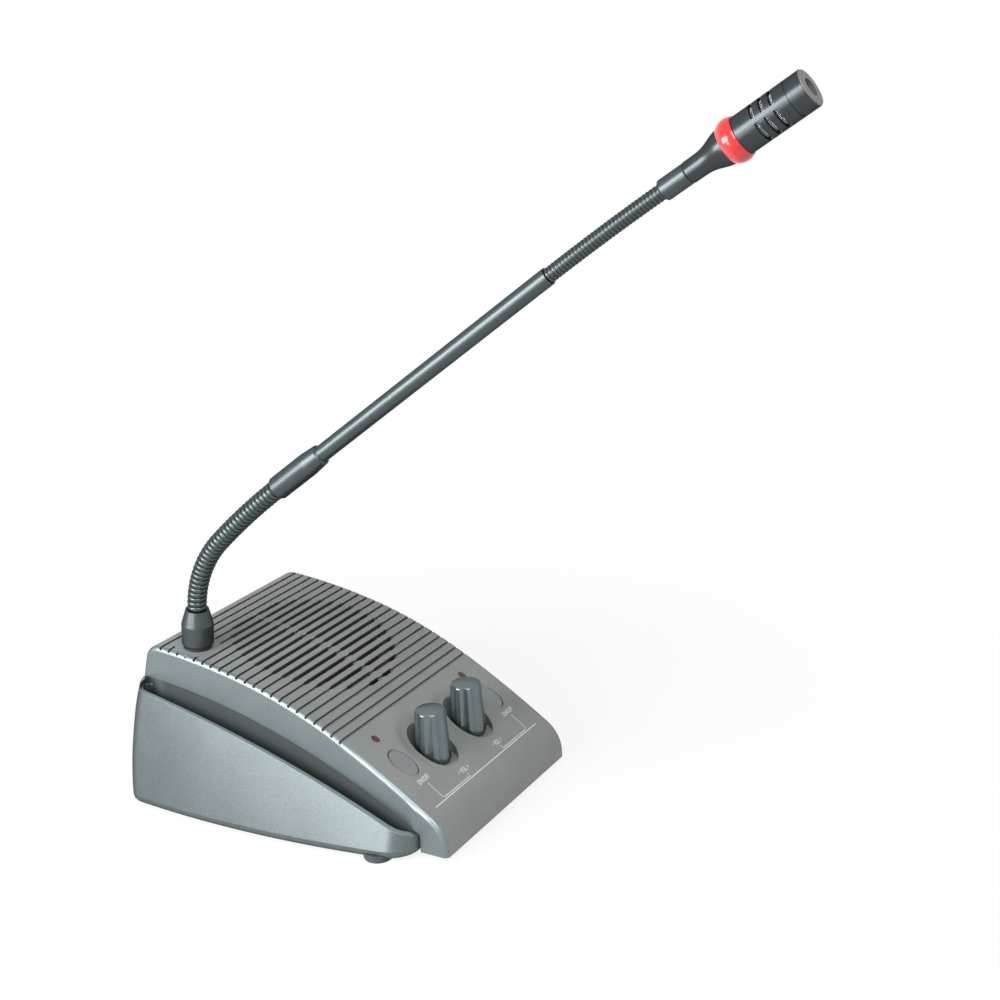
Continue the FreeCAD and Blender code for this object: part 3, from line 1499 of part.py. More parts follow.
# ======================================================================= build every node
save("top_cover", make_top_cover())
save("bottom_case", make_bottom_case())
save("rubber_feet", make_rubber_feet())
save("case_screws", make_case_screws())
save("speaker_gasket", make_speaker_gasket())
save("speaker_frame", make_speaker_frame())
save("speaker_cone", make_speaker_cone())
save("speaker_magnet", make_speaker_magnet())
save("speaker_screws", make_speaker_screws())
save("main_board", make_main_board())
save("panel_board", make_panel_board())
save("board_screws", make_board_screws())
save("amplifier_heatsink", make_heatsink())
save("amplifier_chip", make_amplifier_chip())
save("board_capacitors", make_capacitors(board_height + board_thickness))
save("lead_headers", make_lead_headers(board_height + board_thickness))
outside_x, power_x, recorder_x = socket_places()
save("outside_unit_socket", socket_body(outside_x, jack_hole_radius, jack_hole_depth))
save("power_socket", make_power_socket(power_x))
save("recorder_socket", socket_body(recorder_x, jack_hole_radius, jack_hole_depth))
for side, sign in (("left", -1), ("right", 1)):
    save(side + "_volume_pot", make_pot(sign * knob_x))
    save(side + "_pot_shaft", make_pot_shaft(sign * knob_x))
    save(side + "_knob", make_knob(sign * knob_x))
    save(side + "_button", make_button(sign * button_x))
    save(side + "_switch_plunger", make_plunger(sign * button_x))
    save(side + "_switch", make_switch(sign * button_x))
    save(side + "_lamp", make_lamp(sign * lamp_x))
save("mic_collar", make_mic_collar())
save("collar_washer", make_collar_washer())
save("collar_nut", make_collar_nut())
save("lower_flex_a", make_lower_flex("a"))
save("lower_flex_b", make_lower_flex("b"))
save("lower_ferrule", make_ferrule())
save("stem_tube", make_stem_tube())
save("stem_lead", make_stem_lead())
save("tube_plug", make_tube_plug())
save("upper_flex_a", make_upper_flex("a"))
save("upper_flex_b", make_upper_flex("b"))
save("upper_ferrule", make_upper_ferrule())
save("head_lead", make_head_lead())
save("mic_neck", make_mic_neck())
save("light_ring", make_light_ring())
save("ring_lamp_board", make_ring_lamp_board())
save("mic_barrel", make_mic_barrel())
save("barrel_mesh", make_barrel_mesh())
save("front_disc", make_front_disc())
save("mic_capsule", make_mic_capsule())
save("capsule_holder", make_capsule_holder())
save("capsule_lead", make_capsule_lead())

for name, shape in nodes.items():
    ok = shape.isValid() and all(s.isClosed() for s in shape.Solids)
    print(f"{name:22s} solids {len(shape.Solids)} volume {shape.Volume:10.2f} {'ok' if ok else 'BAD'}")
print("case depth", round(case_depth, 2), "crest height", round(crest_height, 2))
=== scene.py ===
"""Finishes and fine detail of a desk intercom with a gooseneck microphone."""

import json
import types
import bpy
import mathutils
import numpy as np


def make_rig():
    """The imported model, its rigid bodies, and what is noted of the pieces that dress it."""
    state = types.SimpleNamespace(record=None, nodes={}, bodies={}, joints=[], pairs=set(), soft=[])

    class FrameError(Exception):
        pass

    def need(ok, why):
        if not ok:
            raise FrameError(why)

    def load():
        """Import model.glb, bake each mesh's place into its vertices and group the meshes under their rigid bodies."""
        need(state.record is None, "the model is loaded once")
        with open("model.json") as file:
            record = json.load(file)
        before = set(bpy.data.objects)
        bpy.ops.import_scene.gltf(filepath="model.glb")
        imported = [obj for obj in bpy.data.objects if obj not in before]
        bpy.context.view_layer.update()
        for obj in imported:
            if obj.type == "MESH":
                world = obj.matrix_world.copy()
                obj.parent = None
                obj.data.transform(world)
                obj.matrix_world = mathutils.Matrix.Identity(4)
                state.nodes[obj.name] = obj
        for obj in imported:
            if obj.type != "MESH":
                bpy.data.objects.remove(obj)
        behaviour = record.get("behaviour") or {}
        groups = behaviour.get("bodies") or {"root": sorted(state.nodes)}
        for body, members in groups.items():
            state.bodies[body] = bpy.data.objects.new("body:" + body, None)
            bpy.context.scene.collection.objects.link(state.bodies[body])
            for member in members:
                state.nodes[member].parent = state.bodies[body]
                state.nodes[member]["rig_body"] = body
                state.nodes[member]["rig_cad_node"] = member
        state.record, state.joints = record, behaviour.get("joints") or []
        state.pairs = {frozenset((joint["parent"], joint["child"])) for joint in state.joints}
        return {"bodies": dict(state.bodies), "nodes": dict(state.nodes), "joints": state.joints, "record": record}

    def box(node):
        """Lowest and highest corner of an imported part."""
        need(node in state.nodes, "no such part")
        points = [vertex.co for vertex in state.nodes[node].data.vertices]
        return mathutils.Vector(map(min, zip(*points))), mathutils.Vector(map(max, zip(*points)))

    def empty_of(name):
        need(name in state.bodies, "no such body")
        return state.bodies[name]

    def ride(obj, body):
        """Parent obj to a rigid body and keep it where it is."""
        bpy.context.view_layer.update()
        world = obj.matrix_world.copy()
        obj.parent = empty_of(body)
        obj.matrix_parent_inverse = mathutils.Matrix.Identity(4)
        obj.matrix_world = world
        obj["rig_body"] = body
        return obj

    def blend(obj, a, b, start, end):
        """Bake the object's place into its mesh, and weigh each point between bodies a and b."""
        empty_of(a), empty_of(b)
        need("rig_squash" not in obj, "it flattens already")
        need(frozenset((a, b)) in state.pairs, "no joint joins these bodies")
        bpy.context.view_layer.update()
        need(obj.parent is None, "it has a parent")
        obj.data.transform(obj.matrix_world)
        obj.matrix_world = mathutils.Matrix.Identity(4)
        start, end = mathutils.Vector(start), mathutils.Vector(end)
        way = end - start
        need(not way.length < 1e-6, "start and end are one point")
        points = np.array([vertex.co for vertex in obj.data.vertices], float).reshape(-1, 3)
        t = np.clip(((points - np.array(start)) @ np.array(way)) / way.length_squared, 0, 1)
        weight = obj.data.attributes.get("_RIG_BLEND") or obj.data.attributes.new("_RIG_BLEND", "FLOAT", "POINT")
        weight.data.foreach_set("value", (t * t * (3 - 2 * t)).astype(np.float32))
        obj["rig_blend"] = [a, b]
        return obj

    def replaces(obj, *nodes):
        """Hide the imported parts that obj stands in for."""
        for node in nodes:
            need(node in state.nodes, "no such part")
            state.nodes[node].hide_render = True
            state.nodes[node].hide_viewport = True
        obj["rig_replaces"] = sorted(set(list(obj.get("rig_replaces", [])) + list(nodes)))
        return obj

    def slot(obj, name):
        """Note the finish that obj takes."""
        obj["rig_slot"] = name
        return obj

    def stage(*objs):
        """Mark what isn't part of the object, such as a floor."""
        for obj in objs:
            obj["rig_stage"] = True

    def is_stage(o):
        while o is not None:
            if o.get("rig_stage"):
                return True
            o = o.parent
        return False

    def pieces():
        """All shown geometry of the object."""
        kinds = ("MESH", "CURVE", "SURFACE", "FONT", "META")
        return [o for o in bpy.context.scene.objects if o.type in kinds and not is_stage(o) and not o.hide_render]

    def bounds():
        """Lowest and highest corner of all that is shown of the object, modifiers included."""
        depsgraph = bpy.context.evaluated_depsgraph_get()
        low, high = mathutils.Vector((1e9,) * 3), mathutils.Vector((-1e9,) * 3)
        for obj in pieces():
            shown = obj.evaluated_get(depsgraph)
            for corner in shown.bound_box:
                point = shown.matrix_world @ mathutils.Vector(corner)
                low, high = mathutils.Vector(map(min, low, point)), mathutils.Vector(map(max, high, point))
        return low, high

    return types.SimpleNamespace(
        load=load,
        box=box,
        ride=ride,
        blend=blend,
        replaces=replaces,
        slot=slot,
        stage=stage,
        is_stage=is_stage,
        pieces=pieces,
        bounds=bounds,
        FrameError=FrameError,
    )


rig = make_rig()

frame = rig.load()
import json
import math

import bpy
from mathutils import Matrix, Vector
from mathutils.bvhtree import BVHTree

CAD_BOX = [list(corner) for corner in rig.bounds()]
MM = 0.001
NODES = frame["nodes"]
UP = Vector((0, 0, 1))


# ---------------------------------------------------------------- node trees
MIX_LOW, MIX_HIGH, MIX_RESULT = 6, 7, 2     # colour sockets of the Mix node
TRIM_START, TRIM_END = 4, 5                 # length sockets of the Trim Curve node


class Value:
    """A socket of a node tree. An expression on values adds its Math nodes."""

    def __init__(self, tree, socket):
        self.tree, self.socket = tree, socket

    def math(self, operation, *others):
        inputs = dict(enumerate((self, *others)))
        return self.tree.add("ShaderNodeMath", {"operation": operation}, inputs)

    def __add__(self, other):
        return self.math("ADD", other)

    def __sub__(self, other):
        return self.math("SUBTRACT", other)

    def __rsub__(self, other):
        inputs = {0: other, 1: self}
        return self.tree.add("ShaderNodeMath", {"operation": "SUBTRACT"}, inputs)

    def __mul__(self, other):
        return self.math("MULTIPLY", other)

    def __truediv__(self, other):
        return self.math("DIVIDE", other)

    __radd__, __rmul__ = __add__, __mul__

    def ramp(self, low, high, out_low=0.0, out_high=1.0):
        """Smooth step from out_low at low to out_high at high."""
        inputs = {"Value": self, "From Min": low, "From Max": high,
                  "To Min": out_low, "To Max": out_high}
        return self.tree.add("ShaderNodeMapRange", {"interpolation_type": "SMOOTHSTEP"}, inputs)


class Tree:
    """Adds nodes to a shader or geometry tree."""

    def __init__(self, node_tree):
        self.nodes, self.links = node_tree.nodes, node_tree.links

    def put(self, kind, settings=None, inputs=None):
        """A node with its settings first, then the values or links of its sockets."""
        made = self.nodes.new(kind)
        for key, setting in (settings or {}).items():
            setattr(made, key, setting)
        for key, value in (inputs or {}).items():
            socket = made.inputs[key]
            if isinstance(value, Value):
                self.links.new(value.socket, socket)
            elif isinstance(value, bpy.types.NodeSocket):
                self.links.new(value, socket)
            else:
                socket.default_value = value
        return made

    def add(self, kind, settings=None, inputs=None, out=0):
        """One output of a new node, as a value."""
        return Value(self, self.put(kind, settings, inputs).outputs[out])


class Finish(Tree):
    """A material on the Principled shader, with patterns on object coordinates in metres."""

    def __init__(self, name, **constants):
        self.material = bpy.data.materials.new(name)
        self.material.use_nodes = True
        super().__init__(self.material.node_tree)
        self.nodes.clear()
        self.shader = self.put("ShaderNodeBsdfPrincipled")
        self.put("ShaderNodeOutputMaterial", None, {"Surface": self.shader.outputs[0]})
        self.set(**constants)
        self.place = self.put("ShaderNodeTexCoord").outputs["Object"]

    def set(self, **inputs):
        """Sets or links the shader's sockets. An underscore stands for a space."""
        for key, value in inputs.items():
            socket = self.shader.inputs[key.replace("_", " ")]
            if isinstance(value, Value):
                self.links.new(value.socket, socket)
            else:
                socket.default_value = value

    def stretched(self, scale):
        """Object coordinates scaled along each axis."""
        inputs = {"Vector": self.place, "Scale": scale}
        return self.put("ShaderNodeMapping", None, inputs).outputs[0]

    def split(self, vector):
        """The three components of a vector socket."""
        parts = self.put("ShaderNodeSeparateXYZ", None, {0: vector})
        return [Value(self, part) for part in parts.outputs]

    def axes(self):
        return self.split(self.place)

    def upward(self):
        """Upward component of the true surface normal: 1 on a level top, 0 on a wall."""
        return self.split(self.put("ShaderNodeNewGeometry").outputs["True Normal"])[2]

    def noise(self, size, detail=2.0, rough=0.5, place=None):
        """Noise whose features are about size metres wide, 0 to 1."""
        inputs = {"Vector": place or self.place, "Scale": 1 / size,
                  "Detail": detail, "Roughness": rough}
        return self.add("ShaderNodeTexNoise", None, inputs)

    def cells(self, size):
        """Cells about size metres wide, each with a colour of its own."""
        inputs = {"Vector": self.place, "Scale": 1 / size}
        return self.add("ShaderNodeTexVoronoi", None, inputs, "Color")

    def mixed(self, factor, low, high):
        """Colour between two colours."""
        inputs = {"Factor": factor, MIX_LOW: low, MIX_HIGH: high}
        return self.add("ShaderNodeMix", {"data_type": "RGBA"}, inputs, MIX_RESULT)

    def relief(self, height, depth, edge=0.0):
        """Bump of a height map over depth metres, on edges rounded to a radius."""
        inputs = {"Height": height, "Distance": depth, "Strength": 1.0}
        if edge:
            bevel = self.put("ShaderNodeBevel", {"samples": 4}, {"Radius": edge})
            inputs["Normal"] = bevel.outputs[0]
        self.set(Normal=self.add("ShaderNodeBump", None, inputs))
        return self


def grey(level, tint=(1.0, 1.0, 1.0)):
    return (level * tint[0], level * tint[1], level * tint[2], 1.0)


# ---------------------------------------------------------------- places on the solids
def centre_of(node):
    """Centroid of a node's surface, which lies on the axis of a turned part."""
    total, area = Vector(), 0.0
    for face in NODES[node].data.polygons:
        total += face.center * face.area
        area += face.area
    return total / area


def end_of(node, axis, at):
    """Point on a turned part's axis at its lowest (-1) or highest (+1) extent along the axis."""
    centre = centre_of(node)
    reach = max(at * (v.co - centre).dot(axis) for v in NODES[node].data.vertices)
    return centre + axis * (at * reach)


COLLAR_TILT = math.radians(7.05)    # from upright, towards the user
COLLAR_AXIS = Vector((0, -math.sin(COLLAR_TILT), math.cos(COLLAR_TILT)))
STEM_AXIS = (centre_of("stem_tube") - centre_of("lower_ferrule")).normalized()
HEAD_AXIS = (centre_of("barrel_mesh") - centre_of("upper_ferrule")).normalized()
RING_START = end_of("light_ring", HEAD_AXIS, -1)
RING_LENGTH = 7.1 * MM
SIDE_LINE = 52.9 * MM               # from here outwards the cover is painted
REAR_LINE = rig.box("top_cover")[1].y - 3.0 * MM     # and from here backwards
GRILLE_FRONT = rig.box("left_lamp")[1].y + 2.0 * MM  # just in front of the first groove
CHANNEL_SIDE = 55.6 * MM            # outer side of the case's channel beside the cover
RIM_SIDE = 56.0 * MM                # where the rim of the channel starts
KNOB = (Vector(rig.box("right_knob")[0]) + Vector(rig.box("right_knob")[1])) / 2
POCKET = (10.8 * MM, 12.2 * MM)     # half width and half length of a knob's pocket


# ---------------------------------------------------------------- finishes of the case
STEEL_BLUE = (0.86, 1.0, 1.03)      # tint of the metallic paint
SLATE = (0.9, 1.0, 1.03)            # tint of the case's dark grey and of rubber
MATT = (0.97, 1.01, 1.0)            # tint of the panel
EDGE_TINT = (0.3, 0.3, 0.3, 1.0)    # keeps dark surfaces dark at grazing angles
CASE_PAINT = 0.165                  # level of the metallic paint
# lighter level of the case's paint on the cover's sides: painted light
SKIRT_LIT_PAINT = CASE_PAINT * 1.45
# paint level of the painted highlight on the channel's rim
RIM_HIGHLIGHT = CASE_PAINT * 2.2
PANEL_GREYS = (0.215, 0.27)
# grey of the painted shade in the grooves and over the grille
GROOVE_SHADE_GREY = 0.07
BUTTON_GREYS = (0.15, 0.19)
DARK_GREYS = (0.045, 0.056)
FLAKE, FINE_FLAKE, PAINT_DRIFT = 0.55 * MM, 0.28 * MM, 26 * MM
MATT_GRAIN, MATT_DRIFT = 0.42 * MM, 18 * MM
GRAIN_DEPTH = 0.03 * MM
DISH_DEPTH = 1.1 * MM               # how deep the rounding at a knob's pocket seems


def speckled(finish, level, spread=0.16):
    """Metallic paint: fine flakes that catch the light, over slow shifts of tone."""
    flakes = finish.noise(FLAKE, 1.0).ramp(0.38, 0.66)
    fine = finish.noise(FINE_FLAKE, 0.0).ramp(0.3, 0.7)
    slow = finish.noise(PAINT_DRIFT, 3.0).ramp(0.3, 0.7)
    tone = flakes * 0.55 + fine * 0.3 + slow * 0.15
    low, high = (grey(level * (1 + s * spread), STEEL_BLUE) for s in (-1, 1))
    return tone, finish.mixed(tone, low, high)


def pocket_dish(x, y):
    """How far the cover sinks towards a knob's pocket: 1 at its edge, 0 clear of it.

    The front of the pocket has none, as the panel is level there.
    """
    across = (x.math("ABSOLUTE") - KNOB.x) / POCKET[0]
    along = (y - KNOB.y) / POCKET[1]
    out = (across * across + along * along).math("SQRT")
    rear = (y - KNOB.y).ramp(-POCKET[1] * 0.9, POCKET[1] * 0.7)
    return out.ramp(1.5, 0.96) * rear


def cover_finish():
    """Fine matt grey over the top, metallic paint down the sides and the rear wall. The paint is lighter than the
    case's as painted light, and painted shade darkens the grooves and the top from the grille backwards.
    """
    finish = Finish("cover_two_tone", IOR=1.46, Specular_Tint=EDGE_TINT)
    x, y = finish.axes()[:2]
    side_blur, rear_blur, groove_start = 0.12 * MM, 0.15 * MM, 1 * MM
    side = x.math("ABSOLUTE").ramp(SIDE_LINE - side_blur, SIDE_LINE + side_blur)
    painted = side.math("MAXIMUM", y.ramp(REAR_LINE - rear_blur, REAR_LINE + rear_blur))
    tone, paint = speckled(finish, SKIRT_LIT_PAINT)
    grain = finish.noise(MATT_GRAIN).ramp(0.3, 0.72)
    cloud = finish.noise(MATT_DRIFT, 3.0).ramp(0.3, 0.7)
    matt = finish.mixed(grain * 0.7 + cloud * 0.3, *(grey(level, MATT) for level in PANEL_GREYS))
    grille = y.ramp(GRILLE_FRONT, GRILLE_FRONT + groove_start)
    # painted shade: walls of the grooves, turned away from the top, are darkened
    groove_shade = finish.upward().ramp(0.8, 0.66) * grille * (1 - painted)
    # painted shade: the top is darkened a little from just before the grille backwards
    dimmer = y.ramp(GRILLE_FRONT - 8 * MM, GRILLE_FRONT + 20 * MM) * 0.16
    matt = finish.mixed(groove_shade.math("MAXIMUM", dimmer), matt, grey(GROOVE_SHADE_GREY, MATT))
    finish.set(
        Base_Color=finish.mixed(painted, matt, paint),
        Metallic=painted * 0.9,
        Roughness=painted * (tone * 0.06 - 0.2) + grain * 0.06 + 0.54,
    )
    fine = (grain * (1 - painted * 0.6) + tone * painted * 0.4) * GRAIN_DEPTH
    height = fine - pocket_dish(x, y) * DISH_DEPTH
    return finish.relief(height, 1.0, edge=0.28 * MM).material


def case_finish():
    """Metallic paint with a painted highlight on the channel's rim; dark grey underneath and in the channel, fading in
    from its rear end as painted shade.
    """
    finish = Finish("case_metallic_paint", IOR=1.46, Specular_Tint=EDGE_TINT)
    tone, paint = speckled(finish, CASE_PAINT)
    x, y = finish.axes()[:2]
    out, up = x.math("ABSOLUTE"), finish.upward()
    inside = out.ramp(CHANNEL_SIDE, CHANNEL_SIDE - 0.5 * MM)
    # painted shade: the channel darkens over about 10 mm from its rear end forwards
    channel = inside * y.ramp(REAR_LINE - 2.2 * MM, REAR_LINE - 12 * MM)
    channel_and_underside = (up * -1).ramp(0.9, 0.98).math("MAXIMUM", channel)
    grain = finish.noise(0.6 * MM).ramp(0.3, 0.7)
    plain = finish.mixed(grain, *(grey(level, SLATE) for level in DARK_GREYS))
    # painted highlight: upward-facing paint on the channel's outer rim is lighter
    rim_highlight = up.ramp(0.45, 0.8) * out.ramp(RIM_SIDE, RIM_SIDE + 1 * MM)
    paint = finish.mixed(rim_highlight * 0.8, paint, grey(RIM_HIGHLIGHT, STEEL_BLUE))
    finish.set(
        Base_Color=finish.mixed(channel_and_underside, paint, plain),
        Metallic=(1 - channel_and_underside) * 0.9,
        Roughness=tone * 0.06 + 0.34 + channel_and_underside * 0.2,
    )
    return finish.relief(tone, 0.012 * MM, edge=0.4 * MM).material


def button_finish():
    """Matt grey like the panel's on the button's top; smoother and shinier on its edge, and lighter there as a painted
    highlight.
    """
    finish = Finish("button_grey", IOR=1.46)
    # painted highlight: the button's sides are lighter than its top, and smoother
    edge = finish.upward().ramp(0.93, 0.72)
    grain = finish.noise(MATT_GRAIN).ramp(0.3, 0.72)
    worn = finish.noise(3 * MM, 3.0).ramp(0.35, 0.7)
    matt = finish.mixed(grain * 0.7 + worn * 0.3, *(grey(level, MATT) for level in BUTTON_GREYS))
    finish.set(
        Base_Color=finish.mixed(edge, matt, grey(0.3, STEEL_BLUE)),
        Roughness=grain * 0.06 + 0.5 - edge * 0.16,
    )
    return finish.relief(grain, GRAIN_DEPTH, edge=0.4 * MM).material


def print_finish():
    """White ink, worn thin in places."""
    finish = Finish("white_print")
    worn = finish.noise(0.5 * MM).ramp(0.3, 0.6)
    ink = finish.mixed(worn, (0.47, 0.52, 0.55, 1), (0.66, 0.7, 0.73, 1))
    finish.set(Base_Color=ink, Roughness=worn * 0.1 + 0.5)
    return finish.relief(worn, 0.01 * MM).material


# ---------------------------------------------------------------- other finishes
def rubber_finish():
    finish = Finish("foot_rubber", IOR=1.5)
    grain = finish.noise(0.35 * MM, 3.0)
    dust = finish.noise(5 * MM, 4.0).ramp(0.4, 0.75)
    colour = finish.mixed(dust, grey(0.035, SLATE), grey(0.075, SLATE))
    finish.set(Base_Color=colour, Roughness=dust * 0.15 + 0.68)
    return finish.relief(grain, 0.06 * MM, edge=0.3 * MM).material


def moulded(name, colour, rough, spread=0.12, size=0.5, depth=0.02 * MM, edge=0.15 * MM,
            uneven=0.06, **constants):
    """Moulded plastic or paint: grain of a size in mm, faint cloudiness and uneven gloss."""
    finish = Finish(name, **constants)
    grain = finish.noise(size * MM).ramp(0.3, 0.7)
    cloud = finish.noise(size * 14 * MM, 3.0).ramp(0.32, 0.7)
    low, high = [(*(c * (1 + s * spread) for c in colour), 1.0) for s in (-1, 1)]
    finish.set(
        Base_Color=finish.mixed(grain * 0.5 + cloud * 0.5, low, high),
        Roughness=cloud * uneven + (rough - uneven / 2),
    )
    return finish.relief(grain, depth, edge).material


def drawn_metal(name, colour, rough, along=(1.0, 1.0, 14.0), **constants):
    """Plated or drawn metal with fine lines, dull stains and rounded edges."""
    finish = Finish(name, Metallic=1.0, **constants)
    lines = finish.noise(0.25 * MM, place=finish.stretched(along))
    stain = finish.noise(4 * MM, 3.0).ramp(0.35, 0.75)
    clean, dull = (*colour, 1.0), (*(c * 0.8 for c in colour), 1.0)
    finish.set(
        Base_Color=finish.mixed(stain, clean, dull),
        Roughness=lines * 0.12 + stain * 0.1 + (rough - 0.1),
    )
    return finish.relief(lines, 0.01 * MM, edge=0.1 * MM).material


def board_finish():
    """Green solder mask with copper lanes under it."""
    finish = Finish("solder_mask", IOR=1.5, Coat_Weight=0.4, Coat_Roughness=0.2)
    cells = finish.cells(3.2 * MM)
    lane = finish.add("ShaderNodeSeparateColor", None, {0: cells}).ramp(0.48, 0.52)
    mask = finish.mixed(lane, (0.012, 0.11, 0.045, 1), (0.02, 0.17, 0.07, 1))
    finish.set(Base_Color=mask, Roughness=lane * 0.06 + 0.3)
    return finish.relief(lane, 0.03 * MM, edge=0.1 * MM).material


def cone_finish():
    """Pressed paper with fibres."""
    finish = Finish("cone_paper", IOR=1.4)
    fibre = finish.noise(0.8 * MM, 5.0, 0.7)
    finish.set(Base_Color=finish.mixed(fibre, grey(0.012), grey(0.03)), Roughness=fibre * 0.2 + 0.7)
    return finish.relief(fibre, 0.1 * MM).material


def ring_finish():
    """Translucent red lens with a weak glow, paler where its wall thins towards the neck."""
    finish = Finish("red_lens", IOR=1.49, Coat_Weight=0.3, Coat_Roughness=0.06,
                    Subsurface_Weight=0.35, Subsurface_Scale=4 * MM,
                    Subsurface_Radius=(1.0, 0.25, 0.2), Emission_Strength=0.1)
    x, y, z = finish.axes()
    start, axis = RING_START, HEAD_AXIS
    along = (x - start.x) * axis.x + (y - start.y) * axis.y + (z - start.z) * axis.z
    thick = (along / RING_LENGTH).ramp(-0.1, 0.55)
    swirl = finish.noise(3 * MM).ramp(0.3, 0.7)
    pale, deep = (0.56, 0.085, 0.085, 1), (0.44, 0.012, 0.011, 1)
    colour = finish.mixed(thick * 0.85 + swirl * 0.15, pale, deep)
    finish.set(Base_Color=colour, Emission_Color=colour, Roughness=swirl * 0.06 + 0.16)
    return finish.relief(swirl, 0.03 * MM).material


# ---------------------------------------------------------------- grown pieces
def growth(name, sizes):
    """A geometry tree that takes a geometry, sizes and a material.

    Returns the group, its tree and what goes in.
    """
    group = bpy.data.node_groups.new(name, "GeometryNodeTree")
    face = group.interface
    face.new_socket("Geometry", in_out="INPUT", socket_type="NodeSocketGeometry")
    for size in sizes:
        face.new_socket(size, in_out="INPUT", socket_type="NodeSocketFloat")
    face.new_socket("Material", in_out="INPUT", socket_type="NodeSocketMaterial")
    face.new_socket("Geometry", in_out="OUTPUT", socket_type="NodeSocketGeometry")
    tree = Tree(group)
    sockets = tree.put("NodeGroupInput").outputs
    given = {socket.name: Value(tree, socket) for socket in sockets if socket.name}
    return group, tree, given


def finished(tree, given, *parts):
    """Joins the parts, makes instances real, shades them smooth and gives them the material."""
    joined = tree.put("GeometryNodeJoinGeometry")
    for part in parts:
        tree.links.new(part.socket, joined.inputs[0])
    real = tree.add("GeometryNodeRealizeInstances", None, {0: joined.outputs[0]})
    smooth = tree.add("GeometryNodeSetShadeSmooth", None, {"Geometry": real})
    dressed = tree.add("GeometryNodeSetMaterial", None,
                       {"Geometry": smooth, "Material": given["Material"]})
    tree.put("NodeGroupOutput", None, {0: dressed})


def circle(tree, radius, corners):
    inputs = {"Resolution": corners, "Radius": radius}
    return tree.add("GeometryNodeCurvePrimitiveCircle", None, inputs)


def swept(tree, line, profile, caps=False):
    inputs = {0: line, "Profile Curve": profile, "Fill Caps": caps}
    return tree.add("GeometryNodeCurveToMesh", None, inputs)


def instanced(tree, points, piece, rotation=(0, 0, 0)):
    inputs = {"Points": points, "Instance": piece, "Rotation": rotation}
    return tree.add("GeometryNodeInstanceOnPoints", None, inputs)


def hose_growth():
    """Ribs square to a line, over a core that fills the gaps between them."""
    group, tree, given = growth("ribbed_hose", ("Pitch", "Radius", "Rib", "Core"))
    line = tree.add("GeometryNodeMeshToCurve", None, {"Mesh": given["Geometry"]})
    half = given["Pitch"] * 0.5
    last = tree.add("GeometryNodeCurveLength", None, {0: line}) - half * 0.98
    inner = tree.add("GeometryNodeTrimCurve", {"mode": "LENGTH"},
                     {"Curve": line, TRIM_START: half, TRIM_END: last})
    stops = tree.put("GeometryNodeCurveToPoints", {"mode": "LENGTH"},
                     {"Curve": inner, "Length": given["Pitch"]}).outputs
    oval = tree.add("ShaderNodeCombineXYZ", None,
                    {0: given["Rib"], 1: given["Pitch"] * 0.49, 2: 1.0})
    section = tree.add("GeometryNodeTransform", None,
                       {"Geometry": circle(tree, 1.0, 12), "Scale": oval})
    rib = swept(tree, circle(tree, given["Radius"] - given["Rib"], 44), section)
    ribs = instanced(tree, stops["Points"], rib, stops["Rotation"])
    core = swept(tree, line, circle(tree, given["Core"], 32), True)
    finished(tree, given, ribs, core)
    return group


def sleeve_growth():
    """Wire sleeve about +Z: hoops one above the other, and straight wires all round."""
    group, tree, given = growth("wire_sleeve", ("Radius", "Length", "Pitch", "Wire"))
    wire = circle(tree, given["Wire"], 5)
    hoop = swept(tree, circle(tree, given["Radius"], 64), wire)
    step = tree.add("ShaderNodeCombineXYZ", None, {2: given["Pitch"]})
    stack = tree.add("GeometryNodeMeshLine", None,
                     {"Count": given["Length"] / given["Pitch"], "Offset": step})
    foot = tree.add("ShaderNodeCombineXYZ", None, {0: given["Radius"]})
    top = tree.add("ShaderNodeCombineXYZ", None, {0: given["Radius"], 2: given["Length"]})
    upright = tree.add("GeometryNodeCurvePrimitiveLine", None, {"Start": foot, "End": top})
    bar = swept(tree, upright, wire)
    around = (given["Radius"] * (2 * math.pi) / given["Pitch"]).math("FLOOR")
    seats = tree.add("GeometryNodeMeshLine", None, {"Count": around, "Offset": (0, 0, 0)})
    angle = tree.add("GeometryNodeInputIndex") / around * (2 * math.pi)
    turn = tree.add("ShaderNodeCombineXYZ", None, {2: angle})
    finished(tree, given, instanced(tree, stack, hoop), instanced(tree, seats, bar, turn))
    return group


def grown(name, group, sizes, material, points=((0, 0, 0),), edges=()):
    """The tree's result on a line of points, as a plain mesh object."""
    base = bpy.data.meshes.new(name)
    base.from_pydata([tuple(p) for p in points], edges, [])
    seed = bpy.data.objects.new(name + "_seed", base)
    bpy.context.scene.collection.objects.link(seed)
    modifier = seed.modifiers.new("grow", "NODES")
    modifier.node_group = group
    inputs = {**sizes, "Material": material}
    for item in group.interface.items_tree:
        if item.in_out == "INPUT" and item.name in inputs:
            modifier[item.identifier] = inputs[item.name]
    return shown(name, taken_mesh(seed))


def taken_mesh(source):
    """The final mesh of an object, which is removed."""
    graph = bpy.context.evaluated_depsgraph_get()
    mesh = bpy.data.meshes.new_from_object(source.evaluated_get(graph), depsgraph=graph)
    bpy.data.objects.remove(source)
    return mesh


def shown(name, mesh, material=None):
    """A mesh as a piece of the scene."""
    mesh.name = name
    if material:
        mesh.materials.clear()
        mesh.materials.append(material)
    piece = bpy.data.objects.new(name, mesh)
    bpy.context.scene.collection.objects.link(piece)
    return piece


